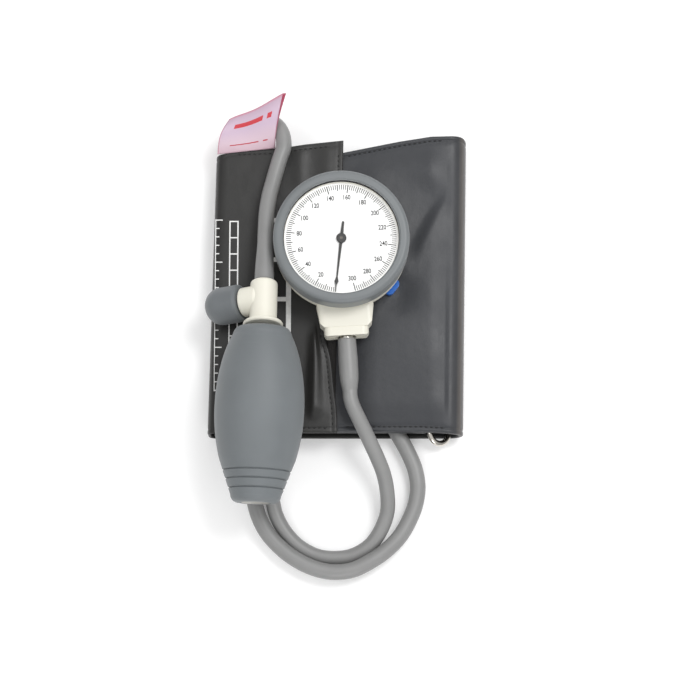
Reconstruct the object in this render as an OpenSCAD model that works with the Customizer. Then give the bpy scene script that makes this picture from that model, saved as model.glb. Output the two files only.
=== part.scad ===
// Aneroid sphygmomanometer lying on a table: a folded arm cuff, and on it the dial gauge,
// the hand bulb with its release valve, and the two rubber tubes that join them.
// Millimetres, +Z up. The cuff's rest face is Z = 0 and the origin is the middle of that face.

/* [Cuff] */
// Width of the cuff band, which runs along Y when folded
band_w = 143.4; // [134:0.2:152]
// Width of the folded cuff, along X
fold_w = 123.4; // [119:0.2:130]
// Thickness of one plain cloth layer
cloth_t = 1.3; // [1.1:0.1:1.5]
// Thickness of the pocket that holds the bladder
pocket_t = 3.2; // [3.1:0.1:3.6]
// Thickness of the bladder
bladder_t = 1.8; // [1.4:0.1:1.9]
// Room left between the base layer and the pocket for the tube
tube_gap = 7.9; // [7.8:0.1:8.8]
// Thickness of each fastening patch
patch_t = 0.8; // [0.6:0.1:1]
// Length of each fastening patch from the flap's free edge
patch_l = 38; // [28:1:42]
// Lean of the folded cuff in plan, in degrees
cuff_lean = 1.2; // [0.9:0.1:1.5]
// Place of the flap's free edge along X, from the middle of the fold
flap_x = 0.6; // [-1:0.2:2]

/* [Metal loop] */
// Diameter of the loop's wire
wire_d = 2.8; // [2.4:0.1:3]
// Width of the loop between its wire centres
loop_w = 11.2; // [10.6:0.2:12]
// Length of the loop over its ends
loop_len = 148; // [146:1:152]

/* [Gauge case] */
// Diameter of the case body
case_d = 58.4; // [57.6:0.2:60]
// Wall thickness of the case
rim_t = 1.6; // [1.4:0.1:1.8]
// Thickness of the rubber ring's wall round the case
ring_wall = 3.3; // [2.8:0.1:4]
// Height of the rubber ring
ring_h = 13.6; // [11:0.2:13.6]
// Thickness of the window
lens_t = 1.4; // [1:0.1:1.5]
// Thickness of the dial
dial_t = 0.6; // [0.4:0.1:0.8]
// Width of the neck at its shoulders
neck_w = 27.4; // [25.6:0.2:29]
// Thickness of the neck
neck_t = 11.6; // [11:0.2:11.8]
// Distance from the dial's centre to the seam of the neck
neck_l = 40.9; // [40.1:0.2:41.9]
// Length of the collar beyond the seam
collar_l = 4.2; // [3.6:0.2:5]
// Turn of the gauge in plan, in degrees
gauge_turn = 3.3; // [2.7:0.2:3.9]

/* [Gauge movement] */
// Tooth module of the sector and the pinion
tooth_module = 0.3; // [0.28:0.01:0.31]
// Teeth of the pinion
pinion_teeth = 10; // [10]
// Teeth that the sector would have as a full wheel
sector_teeth = 90; // [90]
// Teeth that are cut on the sector
cut_teeth = 13; // [12:1:14]
// Thickness of the sector and the pinion leaves
gear_t = 1; // [0.8:0.1:1.2]
// Thickness of the two movement plates
plate_t = 1.2; // [1:0.1:1.4]
// Diameter of the pressure capsule
capsule_d = 24; // [20:1:24]
// Height of the pressure capsule
capsule_h = 3.9; // [3.6:0.1:4.2]
// Length of the stem from the capsule to the rocking shaft's foot
stem_l = 1.8; // [1.6:0.1:2.4]
// Length of the pointer from the shaft to its tip
pointer_l = 26.2; // [24:0.2:26.6]

/* [Bulb and valve] */
// Largest diameter of the bulb
bulb_d = 42.2; // [40:0.2:44]
// Wall thickness of the bulb
bulb_wall = 2.4; // [2:0.1:2.8]
// Slope of the bulb's axis, in degrees, with the valve end high
bulb_slope = 2; // [1:0.5:3]
// Slope of the valve's axis, in degrees, with the tube end low
valve_slope = 12; // [10:0.5:13]
// Roll of the valve that brings its knob down, in degrees
valve_roll = 25; // [22:1:28]
// Diameter of the valve body
valve_d = 13; // [12.6:0.2:14]
// Length of the valve body above its flange
valve_l = 21.2; // [20.8:0.1:22.4]
// Diameter of the flange against the bulb
flange_d = 19; // [18:0.2:20]
// Diameter of the side boss that carries the knob
boss_d = 14; // [13.4:0.2:14.6]
// Diameter of the knob
knob_d = 18; // [17:0.2:18.6]
// Length of the knob
knob_l = 18.6; // [17.6:0.2:19.4]
// Rise of the release screw in one turn
screw_pitch = 0.8; // [0.6:0.1:1]

/* [Tubes] */
// Outer diameter of the tube to the valve
tube_d = 7.6; // [7.2:0.1:7.6]
// Outer diameter of the tube to the gauge
gauge_tube_d = 7.1; // [6.8:0.1:7.4]
// Outer diameter of a tube end stretched over a nozzle
sleeve_d = 9.3; // [9:0.1:9.6]
// Length of the stretched end on the gauge's nozzle
gauge_sleeve_l = 25; // [22:1:28]
// Length of the stretched end on the valve's nozzle
valve_sleeve_l = 20; // [18:1:22]

/* [Hidden] */
$fn = 64;

// Clearances: layers of the fold, fixed pieces that slip in, and turning or sliding fits
layer_gap = 0.2;
seat_gap = 0.05;
run_gap = 0.05;

// Heights of the fold's layers, at their middle surfaces
z_base = cloth_t / 2;
z_pocket_low = cloth_t + tube_gap + pocket_t / 2;
z_pocket_top = z_pocket_low + pocket_t + layer_gap;
pocket_face = z_pocket_top + pocket_t / 2;
z_flap = pocket_face + 2 * patch_t + layer_gap / 2 + cloth_t / 2;
cuff_top = z_flap + cloth_t / 2;
crease_r = 4.5;
crease_x = -fold_w / 2 + crease_r + cloth_t / 2;
cuff_x = 0.6;
fold_r = (z_pocket_top - z_base) / 2;
fold_x = fold_w / 2 - fold_r - pocket_t / 2;
inner_r = (z_pocket_top - z_pocket_low) / 2;
inner_x = -fold_w / 2 + 17.5 + inner_r + pocket_t / 2;
bar_x = fold_w / 2 - 16.6;
droop_x = bar_x - 8.9;
bar_z = 9.5;
eye_wall = 1.2;
eye_r = wire_d / 2 + run_gap + eye_wall;
eye_far_y = 62;
eye_near_y = 68;

// Plan of the cuff: how far its edges lie in from the full width of the band
edge_y = band_w / 2;
crease_in = 5;
pocket_in = 12;
step_in = 3.6;
rise_out = 4.9;
corner_r = 5;
corner_x = fold_w / 2 + cuff_x + 1.4 - corner_r;
step_x = -fold_w / 2 + 15.5;
pocket_short = 1.1;

// Bladder and its pocket
pocket_start = bar_x - 10.9;
pocket_end = bar_x - 20.9;
pocket_skin = 0.5;
bladder_far = 52;
bladder_near = -62;
bladder_side = 1.5;
port_w = 20;
port_d = 12;
port_y = -52;
port_x = -fold_w / 2 + 22.9;
boss_w = 14;
boss_y = 6;

// Loop
loop_y = -1.3;
rest_drop = bar_z - cloth_t - wire_d / 2 - 0.4;
loop_tilt = asin(rest_drop / loop_w);

// Gauge levels, above its back
gauge_x = 1.6;
gauge_y = 18.8;
floor_t = 2;
cavity_r = case_d / 2 - rim_t;
back_round = 4;
lens_r = cavity_r + 0.65;
seal_t = 0.4;
dial_r = cavity_r - 0.3;
ledge_t = 1.6;
ledge_r = dial_r - 1.4;
ring_r = case_d / 2 + ring_wall;
ring_lip_r = cavity_r;
band_h = 6;
neck_axis = 0.7 + neck_t / 2;
neck_round = 3.2;
collar_w = 21.4;
collar_t = neck_t - 0.6;
nozzle_r = 3.1;
nozzle_bore = 1.6;
nozzle_shoulder = 4.7;
recess_w = 16.8;
recess_t = 3.8;
recess_in = 1.6;

// Levels from the case's floor up: capsule, stem, rocking shaft, plates, dial and window
block_t = 1.6;
capsule_z = floor_t + block_t;
stem_top = capsule_z + capsule_h + stem_l;
arm_z = stem_top + 0.1;
arm_t = 0.7;
rocker_z = arm_z - 0.3;
plate_gap = 4.6;
lower_z = rocker_z + 3.3;
upper_z = lower_z + plate_t + plate_gap;
dial_z = upper_z + plate_t + 1;
lens_z = dial_z + 2.3 + seal_t;
case_h = lens_z + lens_t + 0.2;
ring_foot = case_h + 1.5 - ring_h;

// Places of the movement's pieces in plan
plate_r = ledge_r - 0.6;
post_r = 2.2;
post_ring = plate_r - post_r - 0.3;
post_angles = [90, 210, 330];
pillar_places = [[-14, 9], [14, 9], [0, -11]];
pillar_r = 1.4;
gear_z = lower_z + plate_t + 1.9;
pinion_r = tooth_module * pinion_teeth / 2;
sector_r = tooth_module * sector_teeth / 2;
sector_y = pinion_r + sector_r;
sweep = 37.7;
arbor_r = 0.9;
pivot_r = 0.45;
staff_r = 0.7;
tail_l = 1.5;
tail_pin_r = 0.5;
finger_w = 1.2;
finger_t = 1;
finger_x = tail_l - 0.4;
rocker_y = sector_y - tail_pin_r - finger_t / 2 - 0.1;
rocker_r = 0.6;
lug_in = 6;
lug_t = 1.2;
stem_r = 1.2;
block_w = 9;
cut_r = 8;
cut_x = plate_r - 4.3;

// Bulb and valve places
bulb_x = -36.85;
bulb_y = -63.2;
bulb_flat = 0.4;
bulb_z = cuff_top + bulb_d / 2 - bulb_flat;
bulb_turn = -2.1;
valve_turn = -0.7;
mouth_y = 39;
mouth_span = 46.5;
tail_span = 46;
mouth_round = 4.8;
mouth_r = 9.2;
tail_start = 24;
tail_y = 44.4;
tail_r = 11.9;
end_round = 3.4;
rib_places = [29.6, 33.6, 37.8];
rib_deep = 0.7;
spigot_r = 4.3;
spigot_l = 9;
plug_r = 4.3;
plug_l = 4;
disc_t = 1;
disc_travel = 0.8;
branch_y = 14.3;
boss_l = 11;
needle_r = 2;
seat_x = 3.6;
knob_gap = 0.5;

// Routes of the tubes, at their middles, by hand
gauge_route = [[-34.4, -52, 5.3], [-34.4, -62, 5.3], [-34.2, -73, 5.3], [-33.6, -84, 5.2],
               [-32.8, -94, 5], [-31.2, -103.6, 4.6], [-29.8, -109.2, 4.2], [-25.8, -116.8, 3.8],
               [-19.2, -124, 3.6], [-10.4, -128.8, 3.6], [-2, -130, 3.6], [6.8, -128.8, 3.7],
               [15.2, -124, 4.3], [20.6, -116.6, 6], [23.6, -108.4, 8.4], [23.6, -100, 12],
               [21.8, -91, 15.8], [18.9, -83.8, 18.1], [16.4, -78.5, 19.8], [13.2, -72, 21.9],
               [10.3, -66.2, 23.6], [8.1, -61.8, 24.6], [6.6, -58.2, 25.1]];
valve_route = [[-43, -52, 5.3], [-43, -62, 5.3], [-43, -73, 5.3], [-42.8, -84, 5.3],
               [-42, -94, 5.3], [-40, -103.6, 5.6], [-37.8, -110.8, 6.2], [-33.6, -118.6, 6.8],
               [-25.8, -126.8, 7.2], [-17.2, -132.6, 7.5], [-8.6, -136, 7.7], [-1.4, -137, 7.8],
               [6.8, -136, 7.7], [15.2, -132, 7.4], [23, -126.6, 6.8], [29.6, -119.8, 6.2],
               [34, -112.4, 5.6], [37.2, -104.4, 5.3], [38.4, -96.2, 5.3], [37.2, -87.6, 5.3],
               [33.8, -79.2, 5.3], [29.2, -70.8, 5.3], [18.8, -52.8, 5.3], [7.8, -34.2, 5.3],
               [-3.2, -15.4, 5.3], [-14.2, 3.4, 5.3], [-25.2, 22.2, 5.3], [-36.2, 41, 5.3],
               [-43.2, 53.6, 5.3], [-46.6, 59.8, 5.3], [-49.2, 65.2, 5.3], [-50.2, 71, 5.4],
               [-49, 76.6, 6.2], [-46.2, 81.2, 7.8], [-42.2, 84, 10.2], [-37.6, 84.6, 13.2],
               [-33.2, 83.2, 16.4], [-29.4, 79.8, 19.4], [-26.9, 74.4, 21.8], [-26.5, 68.4, 23.2],
               [-28.3, 62.6, 23.6], [-29.9, 57, 24], [-31.5, 50.8, 24.7], [-33.4, 42.6, 26.1],
               [-34.4, 34.8, 28]];
tube_sides = 10;

// Plane and path functions
function mix(a, b, u) = a + (b - a) * u;
function ease(u) = u * u * (3 - 2 * u);
function unit(v) = v / norm(v);
function turned(p, a) = [p[0] * cos(a) - p[1] * sin(a), p[0] * sin(a) + p[1] * cos(a)];
function arc(c, r, a0, a1, n) = [for (k = [0:n]) c + r * [cos(mix(a0, a1, k / n)),
                                                         sin(mix(a0, a1, k / n))]];
function side_of(path, i) =
    let (a = path[max(i - 1, 0)], b = path[min(i + 1, len(path) - 1)], d = unit(b - a))
    [-d[1], d[0]];
function ribbon(path, half) = concat(
    [for (i = [0:len(path) - 1]) path[i] + side_of(path, i) * half[i]],
    [for (i = [len(path) - 1:-1:0]) path[i] - side_of(path, i) * half[i]]);
function same(n, v) = [for (k = [1:n]) v];

// Middle line of the folded band, from the flap's free edge to the loop's bar, seen along Y
flap_line = concat([[flap_x, z_flap]],
    arc([crease_x, z_flap - crease_r], crease_r, 90, 180, 6),
    arc([crease_x, z_base + crease_r], crease_r, 180, 270, 6));
fold_line = arc([fold_x, z_base + fold_r], fold_r, -90, 90, 14);
top_line = [[pocket_start, z_pocket_top]];
inner_line = arc([inner_x, z_pocket_low + inner_r], inner_r, 90, 270, 8);
low_line = [[pocket_end, z_pocket_low], [droop_x, z_pocket_low]];
droop_line = [for (k = [1:5]) [mix(droop_x, bar_x, k / 5),
                               mix(z_pocket_low, bar_z, ease(k / 5))]];
band_line = concat(flap_line, fold_line, top_line, inner_line, low_line, droop_line);
flap_end = 1;
crease_end = len(flap_line) - 1;
fold_start = len(flap_line);
fold_end = fold_start + len(fold_line) - 1;
pocket_last = fold_end + len(top_line) + len(inner_line) + len(low_line);
hem_end = len(band_line) - 1;
band_half = concat(same(len(flap_line), cloth_t / 2),
    [for (k = [0:14]) mix(cloth_t, pocket_t, k / 14) / 2],
    same(len(top_line) + len(inner_line) + len(low_line), pocket_t / 2),
    [for (k = [1:5]) mix(pocket_t, eye_wall * 2, k / 5) / 2]);
pocket_line = concat(top_line, inner_line, [low_line[0]]);

module along_band(y0, y1) {
    rotate([0, 0, -cuff_lean]) translate([cuff_x, y1, 0]) rotate([90, 0, 0])
        linear_extrude(y1 - y0) children();
}

// Outline of a stretch of the band, whose end faces are those of the stretches next to it
function stretch(first, last) = concat(
    [for (i = [first:last]) band_line[i] + side_of(band_line, i) * band_half[i]],
    [for (i = [last:-1:first]) band_line[i] - side_of(band_line, i) * band_half[i]]);

// Plan outlines that trim the three levels of the fold
corner_points = arc([corner_x, edge_y + rise_out - corner_r], corner_r, 90, 0, 8);
base_plan = concat([[-fold_w, edge_y - crease_in - 1.5], [step_x, edge_y - crease_in - 1.5],
    [flap_x + 2, edge_y - step_in], [30, edge_y + 2], [46, edge_y + rise_out - 0.3]],
    corner_points, [[fold_w, edge_y - corner_r],
    [fold_w, -edge_y], [-fold_w, -edge_y]]);
pocket_plan = concat([[-fold_w, edge_y - crease_in], [step_x, edge_y - crease_in + 2.4],
    [step_x, edge_y - pocket_in], [flap_x + 2, edge_y - step_in], [30, edge_y + 2],
    [46, edge_y + rise_out - 0.3]], corner_points,
    [[fold_w, edge_y - corner_r], [fold_w, -edge_y], [corner_x, -edge_y],
     [40, -edge_y + pocket_short], [step_x, -edge_y + pocket_short],
     [step_x, -edge_y], [-fold_w, -edge_y]]);
flap_plan = [[-fold_w, edge_y - crease_in - 0.4], [-fold_w / 2, edge_y - crease_in - 0.2],
    [-fold_w / 2 + 13, edge_y - 3.2], [-fold_w / 2 + 31, edge_y - 2.5],
    [-fold_w / 2 + 38, edge_y - 1.6], [-fold_w / 2 + 45.7, edge_y - 0.4],
    [flap_x + 2, edge_y + 1.6], [fold_w, edge_y + 1.6],
    [fold_w, -edge_y], [-fold_w, -edge_y]];

module trim_level(z0, z1, plan) {
    translate([0, 0, z0]) linear_extrude(z1 - z0) polygon(plan);
}

// A stretch of the sewn cloth band, trimmed to the cuff's outline at each level
module band_stretch(first, last) {
    low = cloth_t + 2;
    high = pocket_face + patch_t;
    intersection() {
        along_band(-edge_y - 10, edge_y + 10) polygon(stretch(first, last));
        union() {
            trim_level(-1, low, base_plan);
            trim_level(low, high, pocket_plan);
            trim_level(high, cuff_top + 1, flap_plan);
        }
    }
}

// The band in the order of its cloth: flap, soft crease, base layer and round fold
module cuff_flap() {
    color("dimgray") band_stretch(0, flap_end);
}

module cuff_crease() {
    color("dimgray") band_stretch(flap_end, crease_end);
}

module cuff_base() {
    color("dimgray") band_stretch(crease_end, fold_start);
}

module cuff_fold() {
    color("dimgray") band_stretch(fold_start, fold_end);
}

// Double cloth with the bladder's room in it, folded back on itself
module cuff_pocket() {
    color("dimgray") difference() {
        band_stretch(fold_end, pocket_last);
        along_band(bladder_near - bladder_side, bladder_far + bladder_side)
            polygon(ribbon(pocket_line, same(len(pocket_line), pocket_t / 2 - pocket_skin)));
        translate([port_x - boss_w / 2, port_y + boss_y, z_pocket_low - pocket_t])
            cube([boss_w, boss_y, pocket_t]);
    }
}

// End of the band, sewn into an eye round the loop's straight side
module loop_hem() {
    color("dimgray") difference() {
        union() {
            band_stretch(pocket_last, hem_end);
            along_band(-eye_near_y, eye_far_y) translate([bar_x, bar_z]) circle(r = eye_r);
        }
        along_band(-edge_y - 11, edge_y + 11) translate([bar_x, bar_z])
            circle(r = wire_d / 2 + run_gap);
        eye_end(eye_far_y, edge_y + 12);
        eye_end(-edge_y - 12, -eye_near_y);
    }
}

// Cuts the eye back where the loop's round ends begin
module eye_end(y0, y1) {
    along_band(y0, y1) translate([droop_x, cloth_t + 0.6])
        square([bar_x + eye_r + 0.6 - droop_x, z_pocket_low + pocket_t / 2 - cloth_t - 0.5]);
}

module bladder() {
    color("darkslategray") along_band(bladder_near, bladder_far)
        polygon(ribbon(pocket_line, same(len(pocket_line), bladder_t / 2)));
}

// Moulded block that joins both tubes to the bladder through the pocket's lower skin
module bladder_port() {
    top = z_pocket_low - pocket_t / 2;
    color("gray") translate([port_x, port_y, 0]) {
        translate([-port_w / 2, 0, cloth_t + layer_gap])
            cube([port_w, port_d, top - cloth_t - layer_gap]);
        translate([-boss_w / 2 + seat_gap, boss_y + seat_gap, top])
            cube([boss_w - 2 * seat_gap, boss_y - 2 * seat_gap,
                  (pocket_t - bladder_t) / 2]);
    }
}

module patch(z) {
    along_band(-edge_y + 8, edge_y - 16) translate([flap_x - patch_l - 1.5, z])
        square([patch_l, patch_t]);
}

module hook_patch() {
    color("black") patch(z_flap - cloth_t / 2 - patch_t);
}

module loop_patch() {
    color("darkgray") patch(pocket_face);
}

// Welded wire loop whose long side lies in the sewn eye
module metal_loop() {
    run = loop_len - loop_w - wire_d;
    color("silver") rotate([0, 0, -cuff_lean]) translate([cuff_x + bar_x, loop_y, bar_z])
        rotate([0, loop_tilt, 0]) {
            for (x = [0, loop_w]) translate([x, run / 2, 0]) rotate([90, 0, 0])
                cylinder(d = wire_d, h = run, $fn = 32);
            for (s = [0, 1]) translate([loop_w / 2, (s - 0.5) * run, 0])
                rotate([0, 0, 180 * (1 - s)]) rotate_extrude(angle = 180, $fn = 48)
                    translate([loop_w / 2, 0]) circle(d = wire_d, $fn = 32);
        }
}

// Folded ribbon sewn to the flap's far edge, rising over the tube
label_t = 0.9;
label_x = -fold_w / 2 + 2.6;
label_base = [[label_x, 66, cuff_top + 0.1], [label_x + 27.1, 69, cuff_top + 0.1]];
label_fold = [[label_x + 6, 80.9, cuff_top + 7.2], [label_x + 32.1, 93.6, cuff_top + 11.2]];
label_bulge = 3;
label_steps = 6;

function label_point(u, v, up) =
    mix(mix(label_base[0], label_base[1], v), mix(label_fold[0], label_fold[1], v), u)
    + [0, 0, label_bulge * sin(180 * u) + up];

module label() {
    n = label_steps;
    sheet = [for (up = [0, label_t]) for (k = [0:n]) for (v = [0, 0.5, 1])
        label_point(k / n, v, up)];
    top = 3 * (n + 1);
    faces = concat(
        [for (k = [0:n - 1]) for (v = [0, 1]) each
            [[3 * k + v, 3 * k + v + 1, 3 * k + v + 4], [3 * k + v, 3 * k + v + 4, 3 * k + v + 3],
             [top + 3 * k + v, top + 3 * k + v + 4, top + 3 * k + v + 1],
             [top + 3 * k + v, top + 3 * k + v + 3, top + 3 * k + v + 4]]],
        [for (k = [0:n - 1]) each
            [[3 * k, 3 * k + 3, top + 3 * k + 3], [3 * k, top + 3 * k + 3, top + 3 * k],
             [3 * k + 2, top + 3 * k + 5, 3 * k + 5], [3 * k + 2, top + 3 * k + 2, top + 3 * k + 5]]],
        [for (v = [0, 1]) each
            [[v, top + v + 1, v + 1], [v, top + v, top + v + 1],
             [3 * n + v, 3 * n + v + 1, top + 3 * n + v + 1],
             [3 * n + v, top + 3 * n + v + 1, top + 3 * n + v]]]);
    color("pink") polyhedron(points = sheet, faces = faces);
}

// The gauge's own frame: its back is Z = 0 and the neck points to -Y
module in_gauge() {
    translate([gauge_x, gauge_y, cuff_top]) rotate([0, 0, gauge_turn]) children();
}

module round_bar(w, h, r) {
    for (x = [-1, 1]) for (z = [-1, 1])
        translate([x * (w / 2 - r), z * (h / 2 - r)]) circle(r = r, $fn = 48);
    square([w - 2 * r, h], center = true);
    square([w, h - 2 * r], center = true);
}

// A bar along -Y with a rounded section, cut to the neck's outline in plan
module neck_bar(outline, w, h) {
    translate([0, 0, neck_axis]) intersection() {
        rotate([90, 0, 0]) linear_extrude(neck_l + collar_l + 4) round_bar(w, h, neck_round);
        translate([0, 0, -h]) linear_extrude(2 * h) polygon(outline);
    }
}

neck_outline = [for (s = [1, -1]) each s > 0
    ? [[neck_w / 2 - 0.4, 0], [neck_w / 2 - 0.4, -case_d / 2 + 1], [neck_w / 2, -case_d / 2 - 1],
       [neck_w / 2 - 1.3, -neck_l + 2], [collar_w / 2 - 0.3, -neck_l]]
    : [[-collar_w / 2 + 0.3, -neck_l], [-neck_w / 2 + 1.3, -neck_l + 2],
       [-neck_w / 2, -case_d / 2 - 1], [-neck_w / 2 + 0.4, -case_d / 2 + 1],
       [-neck_w / 2 + 0.4, 0]]];
collar_outline = [[collar_w / 2, -neck_l], [collar_w / 2, -neck_l - collar_l + 1.2],
    [collar_w / 2 - 1.1, -neck_l - collar_l], [-collar_w / 2 + 1.1, -neck_l - collar_l],
    [-collar_w / 2, -neck_l - collar_l + 1.2], [-collar_w / 2, -neck_l]];

// Moulded cup with the neck in one piece, three posts inside and a ledge for the dial
module gauge_case() {
    color("ivory") in_gauge() difference() {
        union() {
            rotate_extrude($fn = 128) polygon(concat([[0, 0]],
                arc([case_d / 2 - back_round, back_round], back_round, -90, 0, 8),
                [[case_d / 2, case_h], [0, case_h]]));
            translate([0, 0, ring_foot - seat_gap - band_h]) rotate_extrude($fn = 128)
                polygon([[0, 0], [case_d / 2 + 1, 0], [ring_r - 1, 0.5], [ring_r - 0.4, 1.1],
                         [ring_r - 0.4, band_h], [0, band_h]]);
            neck_bar(neck_outline, neck_w, neck_t);
        }
        rotate_extrude($fn = 128) polygon([[0, floor_t], [cavity_r, floor_t],
            [cavity_r, dial_z - ledge_t - 1.4], [ledge_r, dial_z - ledge_t],
            [ledge_r, dial_z], [dial_r, dial_z], [dial_r, lens_z - seal_t],
            [lens_r + seat_gap, lens_z - seal_t], [lens_r + seat_gap, case_h + 1],
            [0, case_h + 1]]);
        nozzle_hole(neck_l + 1, cavity_r - 3, nozzle_r + 1);
    }
    color("ivory") in_gauge() for (a = post_angles) rotate([0, 0, a])
        translate([post_ring, 0, floor_t]) difference() {
            cylinder(r = post_r, h = lower_z - floor_t, $fn = 32);
            translate([0, 0, lower_z - floor_t - 5]) cylinder(r = 0.8, h = 6, $fn = 24);
        }
}

module nozzle_hole(y_far, y_near, r) {
    translate([0, -y_near, neck_axis]) rotate([90, 0, 0])
        cylinder(r = r, h = y_far - y_near, $fn = 48);
}

// Collar that closes the neck and holds the nozzle's flange
module neck_collar() {
    color("ivory") in_gauge() difference() {
        neck_bar(collar_outline, collar_w, collar_t);
        nozzle_hole(neck_l + collar_l + 1, neck_l - 1, nozzle_shoulder + seat_gap);
        translate([-recess_w / 2, -neck_l - collar_l - 1, neck_axis - recess_t / 2])
            cube([recess_w, recess_in + 1, recess_t]);
    }
}

// Turned nozzle: spigot in the neck, flange in the collar and three barbs for the tube
module gauge_nozzle() {
    l = neck_l + collar_l;
    tip = l + gauge_sleeve_l - 2;
    barbs = [for (k = [0:2]) each [[nozzle_r, l + 5 + 5 * k], [nozzle_r - 0.45, l + 5.4 + 5 * k],
                                   [nozzle_r - 0.45, l + 8 + 5 * k]]];
    color("gainsboro") in_gauge() translate([0, 0, neck_axis]) rotate([90, 0, 0])
        rotate_extrude($fn = 48) polygon(concat(
            [[nozzle_bore, cavity_r - 2], [nozzle_r, cavity_r - 2], [nozzle_r, neck_l - 3],
             [nozzle_r + 0.9, neck_l - 3], [nozzle_r + 0.9, neck_l + 0.1],
             [nozzle_shoulder, neck_l + 0.1], [nozzle_shoulder, l - recess_in - 0.2],
             [nozzle_r, l - recess_in + 0.2]], barbs, [[nozzle_r, tip - 3], [nozzle_bore + 0.5, tip],
             [nozzle_bore, tip]]));
}

module nozzle_seal() {
    color("black") in_gauge() translate([0, -neck_l + 4.6, neck_axis]) rotate([90, 0, 0])
        rotate_extrude($fn = 48) translate([nozzle_r + 0.5, 0]) circle(r = 0.45, $fn = 24);
}

// Drilled block that takes the pressure from the nozzle to the capsule's foot
module inlet_block() {
    far = cavity_r - 2 - seat_gap;
    color("goldenrod") in_gauge() difference() {
        union() {
            translate([-block_w / 2, -far, floor_t]) cube([block_w, 6, neck_axis + 2]);
            translate([-block_w / 2, -far, floor_t]) cube([block_w, far, capsule_z - floor_t]);
            translate([0, 0, floor_t]) cylinder(d = block_w, h = capsule_z - floor_t, $fn = 48);
        }
        nozzle_hole(far + 1, far - 4, nozzle_bore);
        translate([0, -far + 3, floor_t + 0.8]) cylinder(r = 1, h = neck_axis - floor_t, $fn = 24);
        translate([0, 0, floor_t + 0.8]) rotate([90, 0, 0]) cylinder(r = 0.5, h = far - 3, $fn = 24);
        translate([0, 0, floor_t + 0.8]) cylinder(r = 0.5, h = capsule_z, $fn = 24);
    }
}

// Soft ring with a rolled outer face and a lip over the window's edge
module protective_ring() {
    r = ring_r;
    bore = case_d / 2 + seat_gap;
    color("slategray") in_gauge() rotate_extrude($fn = 128) polygon(concat(
        [[bore, ring_foot], [r - 0.9, ring_foot]],
        [[r, ring_foot + 2.4], [r, ring_foot + ring_h - 3.2]],
        arc([r - 2.4, ring_foot + ring_h - 2.4], 2.4, 20, 90, 6),
        [[ring_lip_r + 0.8, ring_foot + ring_h], [ring_lip_r, ring_foot + ring_h - 0.5],
         [ring_lip_r, case_h + seat_gap], [bore, case_h + seat_gap]]));
}

module lens() {
    color("lightcyan") in_gauge() translate([0, 0, lens_z]) rotate_extrude($fn = 128)
        polygon([[0, 0], [lens_r, 0], [lens_r, lens_t - 0.4], [lens_r - 0.4, lens_t],
                 [0, lens_t]]);
}

module lens_seal() {
    color("black") in_gauge() translate([0, 0, lens_z - seal_t]) difference() {
        cylinder(r = lens_r, h = seal_t, $fn = 128);
        translate([0, 0, -1]) cylinder(r = dial_r, h = seal_t + 2, $fn = 128);
    }
}

module dial() {
    color("white") in_gauge() translate([0, 0, dial_z]) difference() {
        cylinder(r = dial_r - seat_gap, h = dial_t, $fn = 128);
        translate([0, 0, -1]) cylinder(r = 1.4, h = dial_t + 2, $fn = 32);
    }
}

module plate(z) {
    color("goldenrod") in_gauge() translate([0, 0, z]) difference() {
        cylinder(r = plate_r, h = plate_t, $fn = 96);
        for (p = concat([[0, 0, (z > gear_z ? staff_r : pivot_r) + run_gap],
                        [0, sector_y, pivot_r + run_gap]],
                        [for (q = pillar_places) [q[0], q[1], pillar_r / 2 + seat_gap]],
                        [for (a = post_angles) [post_ring * cos(a), post_ring * sin(a), 1.1]]))
            translate([p[0], p[1], -1]) cylinder(r = p[2], h = plate_t + 2, $fn = 32);
        children();
    }
}

// Lower plate with a slot for the finger and two lugs that carry the rocking shaft
module lower_plate() {
    lug_r = rocker_r + 0.8;
    plate(lower_z) translate([finger_x - 0.2, rocker_y - finger_t / 2 - 0.3, -1])
        cube([finger_w + 0.4, finger_t + 1.4, plate_t + 2]);
    color("goldenrod") in_gauge() for (x = [-lug_in - lug_t, lug_in]) difference() {
        translate([x, rocker_y - lug_r, rocker_z - lug_r + 0.2])
            cube([lug_t, 2 * lug_r, lower_z - rocker_z + lug_r - 0.2]);
        translate([x - 1, rocker_y, rocker_z]) rotate([0, 90, 0])
            cylinder(r = rocker_r + run_gap, h = lug_t + 2, $fn = 24);
    }
}

// Upper plate, cut away at both sides as the real one is, to show the gears
module upper_plate() {
    plate(upper_z) {
        for (s = [-1, 1]) translate([s * cut_x, -cut_r * 0.75, -1])
            cylinder(r = cut_r, h = plate_t + 2, $fn = 48);
        for (a = post_angles) rotate([0, 0, a]) translate([post_ring, 0, -1])
            cylinder(r = post_r + 2.4, h = plate_t + 2, $fn = 48);
    }
}

module plate_pillars() {
    color("goldenrod") in_gauge() for (p = pillar_places)
        translate([p[0], p[1], lower_z]) {
            translate([0, 0, plate_t]) cylinder(r = pillar_r, h = plate_gap, $fn = 32);
            cylinder(r = pillar_r / 2, h = plate_gap + 2 * plate_t, $fn = 24);
        }
}

module plate_screws() {
    color("lightgray") in_gauge() for (a = post_angles) rotate([0, 0, a])
        translate([post_ring, 0, lower_z]) difference() {
            union() {
                translate([0, 0, -4]) cylinder(r = 0.75, h = 4 + plate_t, $fn = 24);
                translate([0, 0, plate_t]) cylinder(r = 1.8, h = 1, $fn = 32);
            }
            translate([-2, -0.25, plate_t + 0.6]) cube([4, 0.5, 1]);
        }
}

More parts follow.
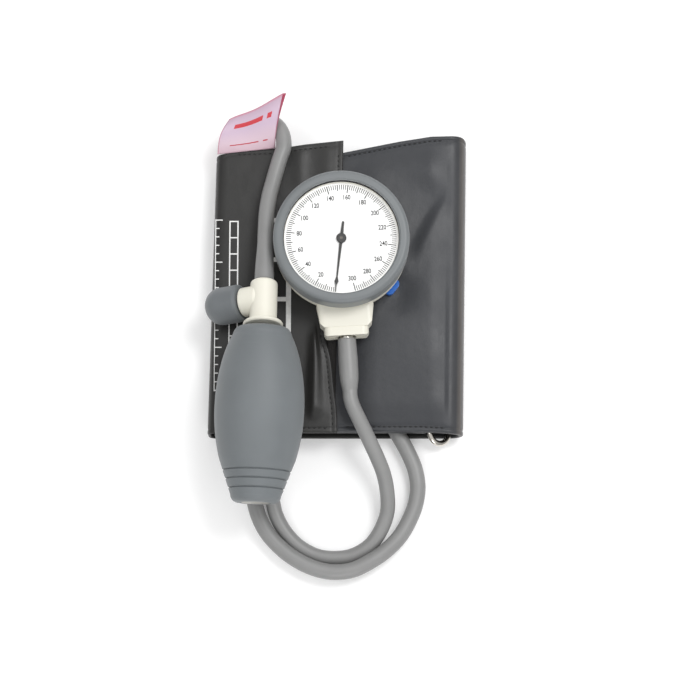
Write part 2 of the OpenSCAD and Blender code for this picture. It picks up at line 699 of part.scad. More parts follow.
// Corrugated metal capsule: two thin shells joined at the rim, open to the block below
capsule_skin = 0.25;
corrugation = 0.35;
capsule_waves = 3;
capsule_boss = 3.4;
capsule_bore = 0.5;
capsule_edge = capsule_d / 2 - 1;
function capsule_wave(r) = let (top = capsule_h / 2) r <= capsule_boss ? top
    : top - corrugation * (1 - cos(360 * capsule_waves * (r - capsule_boss)
                                   / (capsule_edge - 1 - capsule_boss)));
capsule_radii = [for (k = [0:18]) mix(capsule_boss, capsule_edge - 1, k / 18)];

module capsule() {
    skin = capsule_skin;
    wall = [for (r = capsule_radii) [r, capsule_wave(r)]];
    top = concat([[0, capsule_h / 2]], wall, [[capsule_edge, wall[18][1]], [capsule_edge, 0.4],
        [capsule_edge + 1, 0.4]]);
    low = concat([[capsule_edge + 1, -0.4], [capsule_edge, -0.4], [capsule_edge, -wall[18][1]]],
        [for (k = [18:-1:0]) [wall[k][0], -wall[k][1]]], [[capsule_bore, -capsule_h / 2]]);
    inside = concat([[capsule_bore, skin - capsule_h / 2]],
        [for (p = wall) [p[0], skin - p[1]]],
        [[capsule_edge - skin, skin - wall[18][1]], [capsule_edge - skin, wall[18][1] - skin]],
        [for (k = [18:-1:0]) [wall[k][0], wall[k][1] - skin]], [[0, capsule_h / 2 - skin]]);
    color("silver") in_gauge() translate([0, 0, capsule_z + capsule_h / 2])
        rotate_extrude($fn = 96) polygon(concat(top, low, inside));
}

module capsule_stem() {
    foot = capsule_z + capsule_h;
    color("goldenrod") in_gauge() {
        translate([0, 0, foot]) cylinder(r = 3, h = 0.8, $fn = 32);
        translate([0, 0, foot]) cylinder(r = stem_r, h = stem_top - foot, $fn = 32);
    }
}

// Shaft across the gauge with a long foot on the stem and a finger behind the sector's pin
module rocking_shaft() {
    color("silver") in_gauge() translate([0, rocker_y, rocker_z]) {
        half = lug_in + lug_t + 0.2;
        barrel = lug_in - 0.4;
        translate([-half, 0, 0]) rotate([0, 90, 0]) cylinder(r = rocker_r, h = 2 * half, $fn = 32);
        translate([-barrel, 0, 0]) rotate([0, 90, 0])
            cylinder(r = rocker_r + 0.4, h = 2 * barrel, $fn = 32);
        translate([-1, -rocker_y - 1, arm_z - rocker_z]) cube([2, rocker_y + 1, arm_t]);
        translate([finger_x, -finger_t / 2, 0])
            cube([finger_w, finger_t, gear_z - 0.3 - rocker_z]);
    }
}

// Involute tooth flanks
pressure_angle = 20;
function roll(base, r) = let (q = max(r / base, 1), t = sqrt(q * q - 1))
    t * 180 / PI - atan(t);
function half_tooth(teeth, r, thin) = let (rp = tooth_module * teeth / 2,
    base = rp * cos(pressure_angle))
    90 / teeth - thin / rp * 180 / PI + roll(base, rp) - roll(base, r);
function tooth(teeth, root, tip, thin, a) = let (steps = 4) concat(
    [for (k = [0:steps]) let (r = mix(root, tip, k / steps))
        turned([r, 0], a - half_tooth(teeth, r, thin))],
    [for (k = [steps:-1:0]) let (r = mix(root, tip, k / steps))
        turned([r, 0], a + half_tooth(teeth, r, thin))]);
backlash = 0.05;
pinion_tip = pinion_r + 0.75 * tooth_module;
pinion_root = pinion_r - 1.15 * tooth_module;
sector_tip = sector_r + 0.8 * tooth_module;
sector_root = sector_r - 1.15 * tooth_module;
tooth_step = 360 / sector_teeth;
last_tooth = -90 + 1.5 * tooth_step;

module sector_gear() {
    a0 = last_tooth - (cut_teeth - 1) * tooth_step;
    mid = last_tooth - (cut_teeth - 1) * tooth_step / 2;
    color("goldenrod") in_gauge() translate([0, sector_y, gear_z]) difference() {
        union() {
            linear_extrude(gear_t) union() {
                polygon(concat(
                    [for (k = [0:cut_teeth - 1]) each
                        tooth(sector_teeth, sector_root, sector_tip, backlash,
                              a0 + k * tooth_step)],
                    arc([0, 0], sector_root - 2.2, last_tooth + 1.6, a0 - 1.6, 12)));
                polygon([for (p = [[1.4, 1.2], [sector_root - 1.2, 1.5],
                                   [sector_root - 1.2, -1.5], [1.4, -1.2]]) turned(p, mid)]);
                circle(r = 2.6);
                polygon([[0, -1], [tail_l + 0.9, -1], [tail_l + 0.9, 1], [0, 1]]);
            }
            translate([tail_l, 0, -1.7]) cylinder(r = tail_pin_r, h = gear_t + 1.7, $fn = 24);
        }
        translate([0, 0, -1]) cylinder(r = arbor_r, h = gear_t + 2, $fn = 32);
    }
}

module sector_arbor() {
    color("silver") in_gauge() translate([0, sector_y, lower_z]) {
        translate([0, 0, 0.2]) cylinder(r = pivot_r, h = plate_gap + 2 * plate_t - 0.4, $fn = 24);
        translate([0, 0, plate_t + 0.1]) cylinder(r = arbor_r, h = plate_gap - 0.2, $fn = 32);
    }
}

// Pinion cut in one piece with its shaft, which passes the dial and carries the pointer
module pinion() {
    color("silver") in_gauge() {
        translate([0, 0, gear_z - 0.1]) linear_extrude(gear_t + 0.2)
            polygon([for (k = [0:pinion_teeth - 1]) each
                tooth(pinion_teeth, pinion_root, pinion_tip, backlash,
                      90 + k * 360 / pinion_teeth)]);
        translate([0, 0, lower_z + 0.2]) cylinder(r = pivot_r, h = plate_t, $fn = 24);
        translate([0, 0, lower_z + plate_t + 0.1])
            cylinder(r = arbor_r, h = upper_z - lower_z - plate_t - 0.2, $fn = 32);
        translate([0, 0, spring_z - 0.2]) cylinder(r = spring_in - 0.1, h = 0.9, $fn = 32);
        translate([0, 0, gear_z]) cylinder(r = staff_r, h = pointer_z - gear_z + 0.8, $fn = 32);
    }
}

// Flat spiral spring round the pinion's shaft, held by a stud on the lower plate
spring_turns = 4;
spring_z = lower_z + plate_t + 0.7;
spring_in = 1.5;
spring_out = 6;
module hairspring() {
    n = 24 * spring_turns;
    path = [for (k = [0:n]) let (r = mix(spring_in, spring_out, k / n))
        turned([r, 0], -15 * k - 40)];
    color("steelblue") in_gauge() translate([0, 0, spring_z]) linear_extrude(0.5)
        polygon(ribbon(path, same(n + 1, 0.07)));
}

module hairspring_stud() {
    place = turned([spring_out + 0.62, 0], -40);
    color("goldenrod") in_gauge() translate([place[0], place[1], lower_z + plate_t])
        cylinder(r = 0.55, h = 1.5, $fn = 24);
}

// Black pointer at zero: round boss, slim blade with a small spear, and a tail
pointer_z = dial_z + dial_t + 0.7;
pointer_rest = -99.5;
module pointer() {
    tail = 8.2;
    spear = 0.81 * pointer_l;
    color("black") in_gauge() rotate([0, 0, pointer_rest]) difference() {
        union() {
            translate([0, 0, pointer_z]) linear_extrude(0.3) polygon([
                [-tail, -0.55], [0, -0.75], [spear - 2.2, -0.35], [spear, -0.95],
                [spear + 1.6, -0.3], [pointer_l, -0.12], [pointer_l, 0.12],
                [spear + 1.6, 0.3], [spear, 0.95], [spear - 2.2, 0.35], [0, 0.75],
                [-tail, 0.55]]);
            translate([0, 0, pointer_z - 0.3]) rotate_extrude($fn = 48) polygon([
                [0, 0], [2.4, 0], [2.4, 0.9], [2, 1.2], [0, 1.2]]);
        }
        translate([0, 0, pointer_z - 1]) cylinder(r = staff_r + 0.02, h = 1.9, $fn = 32);
    }
}

// Hanging clip riveted under the case, in the step beside the flap's free edge
clip_t = z_flap + cloth_t / 2 - pocket_face - layer_gap;
clip_w = 8.4;
clip_angle = -37.6;
clip_from = 9;
clip_to = 33.4;
module back_clip() {
    color("royalblue") translate([gauge_x, gauge_y, cuff_top - clip_t]) rotate([0, 0, clip_angle])
        difference() {
            linear_extrude(clip_t) {
                translate([clip_from, -clip_w / 2]) square([clip_to - clip_from - 2.5, clip_w]);
                translate([clip_from, -clip_w / 2 + 2.5])
                    square([clip_to - clip_from, clip_w - 5]);
                for (s = [-1, 1]) translate([clip_to - 2.5, s * (clip_w / 2 - 2.5)])
                    circle(r = 2.5, $fn = 48);
            }
            translate([clip_from + 4, 0, -1]) cylinder(r = 1.3, h = clip_t + 2, $fn = 32);
            translate([clip_from + 4, 0, -1]) cylinder(r = 2.3, h = 2, $fn = 32);
        }
}

module clip_rivet() {
    color("silver") translate([gauge_x, gauge_y, cuff_top - clip_t])
        rotate([0, 0, clip_angle]) translate([clip_from + 4, 0, 0]) {
            translate([0, 0, 0.1]) cylinder(r = 2.1, h = 0.9, $fn = 32);
            translate([0, 0, 0.5]) cylinder(r = 1.25, h = clip_t - 0.5, $fn = 32);
        }
}

// The bulb's own frame: its widest section is at the origin and the valve end points to +Y
module in_bulb() {
    translate([bulb_x, bulb_y, bulb_z]) rotate([0, 0, bulb_turn]) rotate([bulb_slope, 0, 0])
        children();
}

// The valve's own frame: the flange's back is at the origin, the tube leaves along +Y
module in_valve() {
    in_bulb() translate([0, mouth_y, 0])
        rotate([-valve_slope - bulb_slope, 0, valve_turn - bulb_turn])
            rotate([0, -valve_roll, 0]) children();
}

function bulb_radius(y) = y >= -tail_start
    ? bulb_d / 2 * sqrt(1 - pow(y / (y > 0 ? mouth_span : tail_span), 2))
    : mix(bulb_d / 2 * sqrt(1 - pow(tail_start / tail_span, 2)), tail_r,
          (-y - tail_start) / (tail_y - end_round - tail_start));
bulb_steps = 36;
function bulb_curve(cut) = [for (k = [0:bulb_steps])
    let (y = mix(mouth_y - mouth_round + 0.4, -tail_y + end_round, k / bulb_steps))
    [bulb_radius(y) - cut, y]];
function rib_cut(y) = let (r = bulb_radius(-y)) [[r + 1, -y - 1.2], [r + 1, -y + 1.2],
    [r - rib_deep, -y]];

// Hollow rubber bulb with ribs at its tail, flat where it rests on the cuff
module bulb() {
    color("slategray") difference() {
        in_bulb() rotate([-90, 0, 0]) rotate_extrude($fn = 96) difference() {
            polygon(concat([[0, mouth_y]],
                arc([mouth_r, mouth_y - mouth_round], mouth_round, 90, 20, 6), bulb_curve(0),
                arc([bulb_radius(end_round - tail_y) - end_round, -tail_y + end_round],
                    end_round, -10, -90, 5),
                [[0, -tail_y]]));
            polygon(concat([[0, mouth_y - mouth_round + 0.4]],
                [for (p = bulb_curve(bulb_wall)) if (p[1] > -tail_y + bulb_wall + 1) p],
                [[0, -tail_y + bulb_wall + 1]]));
            for (y = rib_places) polygon(rib_cut(y));
        }
        translate([bulb_x - bulb_d, bulb_y - tail_y, cuff_top - bulb_d])
            cube([2 * bulb_d, 2 * tail_y, bulb_d]);
        in_valve() translate([0, -spigot_l - 1, 0]) rotate([-90, 0, 0])
            cylinder(r = spigot_r + seat_gap, h = spigot_l + 5, $fn = 48);
        in_valve() translate([-bulb_d, 0, -bulb_d]) cube([2 * bulb_d, flange_d, 2 * bulb_d]);
        in_bulb() translate([0, -tail_y - 1, 0]) rotate([-90, 0, 0])
            cylinder(r = intake_r + seat_gap, h = 20, $fn = 48);
        in_bulb() translate([0, -tail_y - 1, 0]) rotate([-90, 0, 0])
            cylinder(r = intake_flange + seat_gap, h = 1 + intake_lip, $fn = 48);
    }
}

// Intake valve in the bulb's tail: a turned plug, a loose disc and a pressed ring
intake_r = 4.6;
intake_flange = 7;
intake_lip = 1.2;
intake_l = 7;
chamber_r = 3.4;
module intake_body() {
    color("silver") in_bulb() translate([0, -tail_y, 0]) rotate([-90, 0, 0])
        rotate_extrude($fn = 64) polygon([[1.2, 0.3], [2.2, 0], [intake_flange - 0.4, 0],
            [intake_flange, 0.4], [intake_flange, intake_lip], [intake_r, intake_lip],
            [intake_r, intake_l], [chamber_r, intake_l], [chamber_r, 3], [1.2, 3]]);
}

module intake_disc() {
    color("black") in_bulb() translate([0, -tail_y + 3 + run_gap, 0]) rotate([-90, 0, 0])
        cylinder(r = chamber_r - 0.3, h = disc_t, $fn = 48);
}

module intake_ring() {
    inside = 3 + run_gap + disc_t + disc_travel + 0.1;
    color("silver") in_bulb() translate([0, -tail_y + inside, 0]) rotate([-90, 0, 0])
        difference() {
            cylinder(r = chamber_r - seat_gap, h = 1.2, $fn = 48);
            translate([0, 0, -1]) cylinder(r = 1.5, h = 4, $fn = 48);
            for (a = [0:60:300]) rotate([0, 0, a]) translate([2.3, 0, -1])
                cylinder(r = 0.4, h = 4, $fn = 24);
        }
}

// T-shaped moulded valve body: flange, barrel, tube nozzle and side boss
valve_nozzle_l = 12.5;
valve_tip = valve_l + 2 + valve_nozzle_l;
module valve_body() {
    n = nozzle_r;
    top = valve_l + 2;
    color("ivory") in_valve() difference() {
        union() {
            rotate([-90, 0, 0]) rotate_extrude($fn = 64) polygon(concat(
                [[0, 0], [flange_d / 2 - 0.6, 0]],
                arc([flange_d / 2 - 1, 1], 1, -60, 80, 6),
                [[valve_d / 2 + 0.6, 2.1], [valve_d / 2, 2.9]],
                arc([valve_d / 2 - 1.6, top - 1.6], 1.6, 0, 90, 5),
                [[n + 0.5, top], [n, top + 0.4], [n, top + 3], [n - 0.4, top + 3.4],
                 [n - 0.4, top + 6], [n, top + 8], [n, valve_tip - 2.4],
                 [n - 1, valve_tip], [0, valve_tip]]));
            translate([0, branch_y, 0]) rotate([0, -90, 0]) rotate_extrude($fn = 64)
                polygon([[0, -1], [valve_d / 2 - 1.2, -1], [boss_d / 2, 2.6],
                         [boss_d / 2, boss_l - 0.6], [boss_d / 2 - 0.6, boss_l], [0, boss_l]]);
        }
        rotate([-90, 0, 0]) translate([0, 0, -1]) cylinder(r = plug_r, h = plug_l + 1, $fn = 48);
        rotate([-90, 0, 0]) cylinder(r = 3.2, h = plug_l + disc_t + disc_travel + 0.2, $fn = 48);
        rotate([-90, 0, 0]) cylinder(r = nozzle_bore, h = valve_tip + 1, $fn = 32);
        translate([0, branch_y, 0]) rotate([0, -90, 0]) {
            cylinder(r = 1, h = boss_l, $fn = 32);
            translate([0, 0, seat_x]) cylinder(r = 3.4, h = boss_l, $fn = 48);
        }
    }
}

// Plug with the spigot that the bulb's mouth grips, and the outlet seat at its inner end
module valve_spigot() {
    color("silver") in_valve() rotate([-90, 0, 0]) translate([0, 0, -spigot_l])
        rotate_extrude($fn = 48) polygon([[1.5, 0], [spigot_r - 0.8, 0], [spigot_r, 1.5],
            [spigot_r, 3], [spigot_r - 0.4, 3.4], [spigot_r - 0.4, spigot_l - 0.6],
            [plug_r - seat_gap, spigot_l], [plug_r - seat_gap, spigot_l + plug_l - 0.1],
            [1.5, spigot_l + plug_l - 0.1]]);
}

module outlet_disc() {
    color("black") in_valve() translate([0, plug_l, 0]) rotate([-90, 0, 0])
        cylinder(r = 2.8, h = disc_t, $fn = 48);
}

// Threaded bush in the boss, the soft seat behind it and the needle that closes on the seat
module along_branch(b) {
    in_valve() translate([-b, branch_y, 0]) rotate([0, -90, 0]) children();
}

module release_seat() {
    color("black") along_branch(seat_x) difference() {
        cylinder(r = 3.4 - seat_gap, h = 1.2, $fn = 48);
        translate([0, 0, -1]) cylinder(r = 0.8, h = 4, $fn = 32);
    }
}

module release_bush() {
    color("goldenrod") along_branch(seat_x + 1.8) difference() {
        union() {
            cylinder(r = 3.4 - seat_gap, h = boss_l - seat_x - 1.8, $fn = 48);
            translate([0, 0, boss_l - seat_x - 1.8]) cylinder(r = 3.4, h = 0.3, $fn = 48);
        }
        translate([0, 0, -1]) cylinder(r = needle_r + run_gap, h = boss_l, $fn = 48);
        for (a = [0, 120, 240]) rotate([0, 0, a]) translate([needle_r, -0.3, -1])
            cube([0.7, 0.6, boss_l]);
    }
}

needle_far = boss_l + knob_gap + 7;
module release_needle() {
    tip = seat_x + 0.6;
    color("silver") along_branch(0) rotate_extrude($fn = 48) polygon([
        [0, tip], [0.5, tip], [0.72, tip + 0.6], [1.6, tip + 1.5], [needle_r, tip + 2.2],
        [needle_r, needle_far], [0, needle_far]]);
}

// Soft domed knob with a socket that grips the needle's outer end
module release_knob() {
    r = knob_d / 2;
    near = boss_l + knob_gap;
    dome = 8.2;
    color("slategray") along_branch(near) difference() {
        rotate_extrude($fn = 96) polygon(concat([[0, 0], [r - 1, 0], [r - 0.3, 0.5], [r, 1.4]],
            [for (k = [0:10]) [r * pow(cos(9 * k), 0.9), knob_l - dome + dome * sin(9 * k)]]));
        translate([0, 0, -1]) cylinder(r = needle_r + run_gap, h = needle_far - near + 1.2,
                                       $fn = 48);
        translate([0, 0, -1]) cylinder(r = 3.9, h = 2, $fn = 48);
    }
}

// Rubber tubes: one swept polyhedron each, with a stretched end on its nozzle
function tangent(p, i) = unit((i < len(p) - 1 ? unit(p[i + 1] - p[i]) : [0, 0, 0])
                              + (i > 0 ? unit(p[i] - p[i - 1]) : [0, 0, 0]));
function hoop(p, i, r) = let (t = tangent(p, i), s = unit(cross(t, [0, 0, 1])), up = cross(s, t))
    [for (k = [0:tube_sides - 1]) let (a = 360 * (k + 0.5) / tube_sides)
        p[i] + r * (cos(a) * s + sin(a) * up)];

module tube(route, d) {
    n = len(route);
    m = tube_sides;
    color("gray") polyhedron(
        points = [for (i = [0:n - 1]) each hoop(route, i, d / 2)],
        faces = concat([[for (k = [m - 1:-1:0]) k]], [[for (k = [0:m - 1]) (n - 1) * m + k]],
            [for (i = [0:n - 2]) for (k = [0:m - 1]) let (q = (k + 1) % m) each
                [[i * m + k, (i + 1) * m + q, (i + 1) * m + k],
                 [i * m + k, i * m + q, (i + 1) * m + q]]]));
}

// Where each nozzle's stretched end stops, and the direction in which the tube leaves it
gauge_out = [sin(gauge_turn), -cos(gauge_turn), 0];
gauge_end = [gauge_x, gauge_y, cuff_top + neck_axis]
    + gauge_out * (neck_l + collar_l + gauge_sleeve_l + 1);
valve_out = [-sin(valve_turn) * cos(valve_slope), cos(valve_turn) * cos(valve_slope),
             -sin(valve_slope)];
mouth = [bulb_x, bulb_y, bulb_z] + mouth_y * [-sin(bulb_turn) * cos(bulb_slope),
    cos(bulb_turn) * cos(bulb_slope), sin(bulb_slope)];
valve_end = mouth + valve_out * (valve_l + 2.5 + valve_sleeve_l);

module gauge_tube() {
    tube(concat(gauge_route, [gauge_end + 3 * gauge_out, gauge_end]), gauge_tube_d);
}

module valve_tube() {
    tube(concat(valve_route, [valve_end + 5 * valve_out, valve_end]), tube_d);
}

// A stretched end from its length and its outline, as shares of the length with diameters
module sleeve(l, outline) {
    bore = nozzle_r + seat_gap;
    rotate_extrude($fn = 48) polygon(concat([[bore, 0]], [for (p = outline) [p[1] / 2, p[0] * l]],
        [[0, l], [0, l - 1], [bore, l - 1]]));
}

module gauge_tube_end() {
    d = sleeve_d;
    color("gray") in_gauge() translate([0, -neck_l - collar_l - 1, neck_axis])
        rotate([90, 0, 0]) sleeve(gauge_sleeve_l, [[0, d - 1], [0.03, d - 0.6], [0.2, d - 0.3],
            [0.42, d], [0.66, d - 0.1], [0.8, d - 0.5], [0.9, d - 1.3], [1, gauge_tube_d]]);
}

module valve_tube_end() {
    d = sleeve_d;
    color("gray") in_valve() translate([0, valve_l + 2.5, 0]) rotate([-90, 0, 0])
        sleeve(valve_sleeve_l, [[0, d - 0.5], [0.02, d - 0.1], [0.2, d - 0.1], [0.4, d - 0.4],
            [0.6, d - 0.8], [0.8, mix(d - 0.8, tube_d, 0.6)], [1, tube_d]]);
}

cuff_flap();
cuff_crease();
cuff_base();
cuff_fold();
cuff_pocket();
loop_hem();
bladder();
bladder_port();
hook_patch();
loop_patch();
metal_loop();
label();
gauge_case();
neck_collar();
gauge_nozzle();
nozzle_seal();
inlet_block();
protective_ring();
lens();
lens_seal();
dial();
lower_plate();
upper_plate();
plate_pillars();
plate_screws();
capsule();
capsule_stem();
rocking_shaft();
sector_gear();
sector_arbor();
pinion();
hairspring();
hairspring_stud();
pointer();
back_clip();
clip_rivet();
bulb();
intake_body();
intake_disc();
intake_ring();
valve_body();
valve_spigot();
outlet_disc();
release_bush();
release_seat();
release_needle();
release_knob();
gauge_tube();
gauge_tube_end();
valve_tube();
valve_tube_end();
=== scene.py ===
import math

import bpy
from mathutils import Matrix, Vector


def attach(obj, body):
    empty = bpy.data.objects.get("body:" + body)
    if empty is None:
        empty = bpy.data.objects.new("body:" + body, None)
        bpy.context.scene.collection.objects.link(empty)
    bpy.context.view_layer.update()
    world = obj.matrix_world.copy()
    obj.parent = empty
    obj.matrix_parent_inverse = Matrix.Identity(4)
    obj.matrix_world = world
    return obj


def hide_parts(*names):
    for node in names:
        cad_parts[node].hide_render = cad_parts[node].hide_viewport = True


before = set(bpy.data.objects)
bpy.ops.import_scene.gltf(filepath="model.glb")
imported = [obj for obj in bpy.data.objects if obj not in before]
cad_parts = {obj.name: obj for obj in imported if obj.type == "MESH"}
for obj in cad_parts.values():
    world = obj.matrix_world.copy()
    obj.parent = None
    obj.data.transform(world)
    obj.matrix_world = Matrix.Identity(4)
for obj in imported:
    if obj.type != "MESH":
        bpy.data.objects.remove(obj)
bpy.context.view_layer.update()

scene = bpy.context.scene
scene.view_settings.view_transform = "Standard"

# Camera: it looks down on the set from 79 degrees above the table and 1.1 m away, through
# a long lens, so that 330 mm are across the picture.
target = Vector((0.00097, -0.0247, 0.010))
rise = math.radians(79)
distance = 1.1
camera = bpy.data.objects.new("camera", bpy.data.cameras.new("camera"))
scene.collection.objects.link(camera)
camera.data.sensor_width = 36
camera.data.lens = 120
camera.location = target + distance * Vector((0, -math.cos(rise), math.sin(rise)))
camera.rotation_euler = (math.radians(90) - rise, 0, 0)
scene.camera = camera

# Rubber tubes: thick-walled, extruded, smooth and a little shiny. One runs from the cuff
# to the gauge and one from the cuff to the release valve. Both are pushed over barbed
# nozzles, where a stretched end hides the barbs.
MM = 0.001
steps_between = 6
gauge_tube_across = 0.0071
valve_tube_across = 0.0076


def smooth_route(points):
    """Points along a smooth curve through the given ones."""
    ends = [2 * points[0] - points[1]] + points + [2 * points[-1] - points[-2]]
    out = []
    for a, b, c, d in zip(ends, ends[1:], ends[2:], ends[3:]):
        t = [0.0]
        for p, q in ((a, b), (b, c), (c, d)):
            t.append(t[-1] + math.sqrt((q - p).length))
        for k in range(steps_between):
            u = t[1] + (t[2] - t[1]) * k / steps_between
            ab = a.lerp(b, (u - t[0]) / (t[1] - t[0]))
            bc = b.lerp(c, (u - t[1]) / (t[2] - t[1]))
            cd = c.lerp(d, (u - t[2]) / (t[3] - t[2]))
            abc = ab.lerp(bc, (u - t[0]) / (t[2] - t[0]))
            bcd = bc.lerp(cd, (u - t[1]) / (t[3] - t[1]))
            out.append(abc.lerp(bcd, (u - t[1]) / (t[2] - t[1])))
    return out + [points[-1]]


def new_material(name):
    material = bpy.data.materials.new(name)
    material.use_nodes = True
    tree = material.node_tree
    return material, tree.nodes, tree.links, tree.nodes["Principled BSDF"]


def clouds(nodes, links, place, scale, detail):
    """Soft random patches over the given places, from 0 to 1."""
    patches = nodes.new("ShaderNodeTexNoise")
    patches.inputs["Scale"].default_value = scale
    patches.inputs["Detail"].default_value = detail
    links.new(place, patches.inputs["Vector"])
    return patches.outputs["Fac"]


def colours_along(nodes, links, value, stops, change="LINEAR"):
    """Colour that follows a value, from stops of (value, colour)."""
    ramp = nodes.new("ShaderNodeValToRGB")
    ramp.color_ramp.interpolation = change
    elements = ramp.color_ramp.elements
    while len(elements) < len(stops):
        elements.new(0.5)
    for element, (at, colour) in zip(elements, stops):
        element.position = at
        element.color = (*colour, 1)
    links.new(value, ramp.inputs["Fac"])
    return ramp.outputs["Color"]


def cloudy_colour(nodes, links, skin, colour, mottle, scale):
    """Gives the skin its colour, a little uneven. Returns the places and the clouds used."""
    place = nodes.new("ShaderNodeTexCoord").outputs["Object"]
    cloud = clouds(nodes, links, place, scale, 4)
    stops = [(at, [min(c * share, 1) for c in colour])
             for at, share in ((0.3, 1 - mottle), (0.7, 1 + mottle))]
    links.new(colours_along(nodes, links, cloud, stops), skin.inputs["Base Color"])
    return place, cloud


def uneven_gloss(nodes, links, skin, cloud, low, high):
    gloss = nodes.new("ShaderNodeMapRange")
    gloss.inputs["From Min"].default_value = 0.3
    gloss.inputs["From Max"].default_value = 0.7
    gloss.inputs["To Min"].default_value = low
    gloss.inputs["To Max"].default_value = high
    links.new(cloud, gloss.inputs["Value"])
    links.new(gloss.outputs["Result"], skin.inputs["Roughness"])


def raised(nodes, links, into, height, strength, depth):
    """Bumps of the given depth, for the socket that takes them."""
    bump = nodes.new("ShaderNodeBump")
    bump.inputs["Strength"].default_value = strength
    bump.inputs["Distance"].default_value = depth
    links.new(height, bump.inputs["Height"])
    links.new(bump.outputs["Normal"], into)
    return bump


def fine_grain(nodes, links, skin, place, scale, strength, depth=0.0001):
    grain = clouds(nodes, links, place, scale, 3)
    raised(nodes, links, skin.inputs["Normal"], grain, strength, depth)


def rubber(name, colour, roughness, grain, mottle=0.05, coat=0.0, bloom=0.0):
    """Moulded or extruded rubber: fine grain, slightly cloudy colour, soft shine."""
    material, nodes, links, skin = new_material(name)
    place, cloud = cloudy_colour(nodes, links, skin, colour, mottle, 70)
    uneven_gloss(nodes, links, skin, cloud, roughness - 0.04, roughness + 0.05)
    fine_grain(nodes, links, skin, place, 2600, grain)
    skin.inputs["Coat Weight"].default_value = coat
    skin.inputs["Coat Roughness"].default_value = 0.25
    skin.inputs["Sheen Weight"].default_value = bloom
    skin.inputs["Sheen Roughness"].default_value = 0.5
    return material


def dress(material, *names):
    for name in names:
        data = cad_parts[name].data
        data.materials.clear()
        data.materials.append(material)


def rubber_tube(name, points, diameter):
    curve = bpy.data.curves.new(name, "CURVE")
    curve.dimensions = "3D"
    curve.bevel_depth = diameter / 2
    curve.bevel_resolution = 10
    curve.use_fill_caps = True
    route = smooth_route([Vector(p) * MM for p in points])
    spline = curve.splines.new("POLY")
    spline.points.add(len(route) - 1)
    for place, p in zip(spline.points, route):
        place.co = (*p, 1)
    curve.materials.append(tube_rubber)
    piece = bpy.data.objects.new(name, curve)
    scene.collection.objects.link(piece)
    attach(piece, "cuff_and_housings")
    return piece


tube_rubber = rubber("tube_rubber", (0.228, 0.228, 0.226), 0.44, 0.04, coat=0.06)
dress(tube_rubber, "gauge_tube_end", "valve_tube_end", "bladder_port")
gauge_hose = rubber_tube("gauge_hose", [
    (-34.4, -52, 5.3), (-34.4, -62, 5.3), (-34.2, -73, 5.3), (-33.6, -84, 5.2),
    (-32.8, -94, 5), (-31.2, -103.6, 4.6), (-29.8, -109.2, 4.2), (-25.8, -116.8, 3.8),
    (-19.2, -124, 3.6), (-10.4, -128.8, 3.6), (-2, -130, 3.6), (6.8, -128.8, 3.7),
    (15.2, -124, 4.3), (20.6, -116.6, 6), (23.6, -108.4, 8.4), (23.6, -100, 12),
    (21.8, -91, 15.8), (18.9, -83.8, 18.1), (16.4, -78.5, 19.8), (13.2, -72, 21.9),
    (10.3, -66.2, 23.6), (8.1, -61.8, 24.6), (6.6, -58.2, 25.1),
    (5.8655, -55.1771, 25.3000), (5.6928, -52.1821, 25.3000),
], gauge_tube_across)
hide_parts("gauge_tube")
valve_hose = rubber_tube("valve_hose", [
    (-43, -52, 5.3), (-43, -62, 5.3), (-43, -73, 5.3), (-42.8, -84, 5.3), (-42, -94, 5.3),
    (-40, -103.6, 5.6), (-37.8, -110.8, 6.2), (-33.6, -118.6, 6.8), (-25.8, -126.8, 7.2),
    (-17.2, -132.6, 7.5), (-8.6, -136, 7.7), (-1.4, -137, 7.8), (6.8, -136, 7.7),
    (15.2, -132, 7.4), (23, -126.6, 6.8), (29.6, -119.8, 6.2), (34, -112.4, 5.6),
    (37.2, -104.4, 5.3), (38.4, -96.2, 5.3), (37.2, -87.6, 5.3), (33.8, -79.2, 5.3),
    (29.2, -70.8, 5.3), (18.8, -52.8, 5.3), (7.8, -34.2, 5.3), (-3.2, -15.4, 5.3),
    (-14.2, 3.4, 5.3), (-25.2, 22.2, 5.3), (-36.2, 41, 5.3), (-43.2, 53.6, 5.3),
    (-46.6, 59.8, 5.3), (-49.2, 65.2, 5.3), (-50.2, 71, 5.4), (-49, 76.6, 6.2),
    (-46.2, 81.2, 7.8), (-42.2, 84, 10.2), (-37.6, 84.6, 13.2), (-33.2, 83.2, 16.4),
    (-29.4, 79.8, 19.4), (-26.9, 74.4, 21.8), (-26.5, 68.4, 23.2), (-28.3, 62.6, 23.6),
    (-29.9, 57, 24), (-31.5, 50.8, 24.7), (-33.4, 42.6, 26.1), (-34.4, 34.8, 28),
    (-34.8398, 23.3823, 30.7357), (-34.8995, 18.4919, 31.7753),
], valve_tube_across)
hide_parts("valve_tube")

# Cuff: one band of coated woven nylon, folded round itself. Its far half is a pocket of two
# layers for the bladder, and its other end is a plain flap over it. Edges are turned in and
# sewn, and the pocket's end wraps the metal loop's bar.
lean = math.radians(1.2)
cuff_shift = 0.6
near_y = -71.7
flap_z = 18.15
pocket_z = 14.2
low_z = 10.8
base_z = 0.65
half_single = 0.65
half_double = 1.6
flap_start = 0.6
left_x, left_round = -56.55, 4.5
left_far = 66.7
right_x, right_round = 53.325, 6.775
turn_x, turn_round = -40.9, 1.7
tuck_x = 36.2
corner_x, corner_y, corner_round = 58.7, 71.6, 5
seam = 2.5
edge_steps = [0, 0.15, 0.4, 0.75, 1.2, 1.8, 2.2, 2.6, 3.0, 3.6]
middle_steps = 72


def eased(u):
    u = min(max(u, 0.0), 1.0)
    return u * u * (3 - 2 * u)


def hump(d, width):
    return math.exp(-((d / width) ** 2))


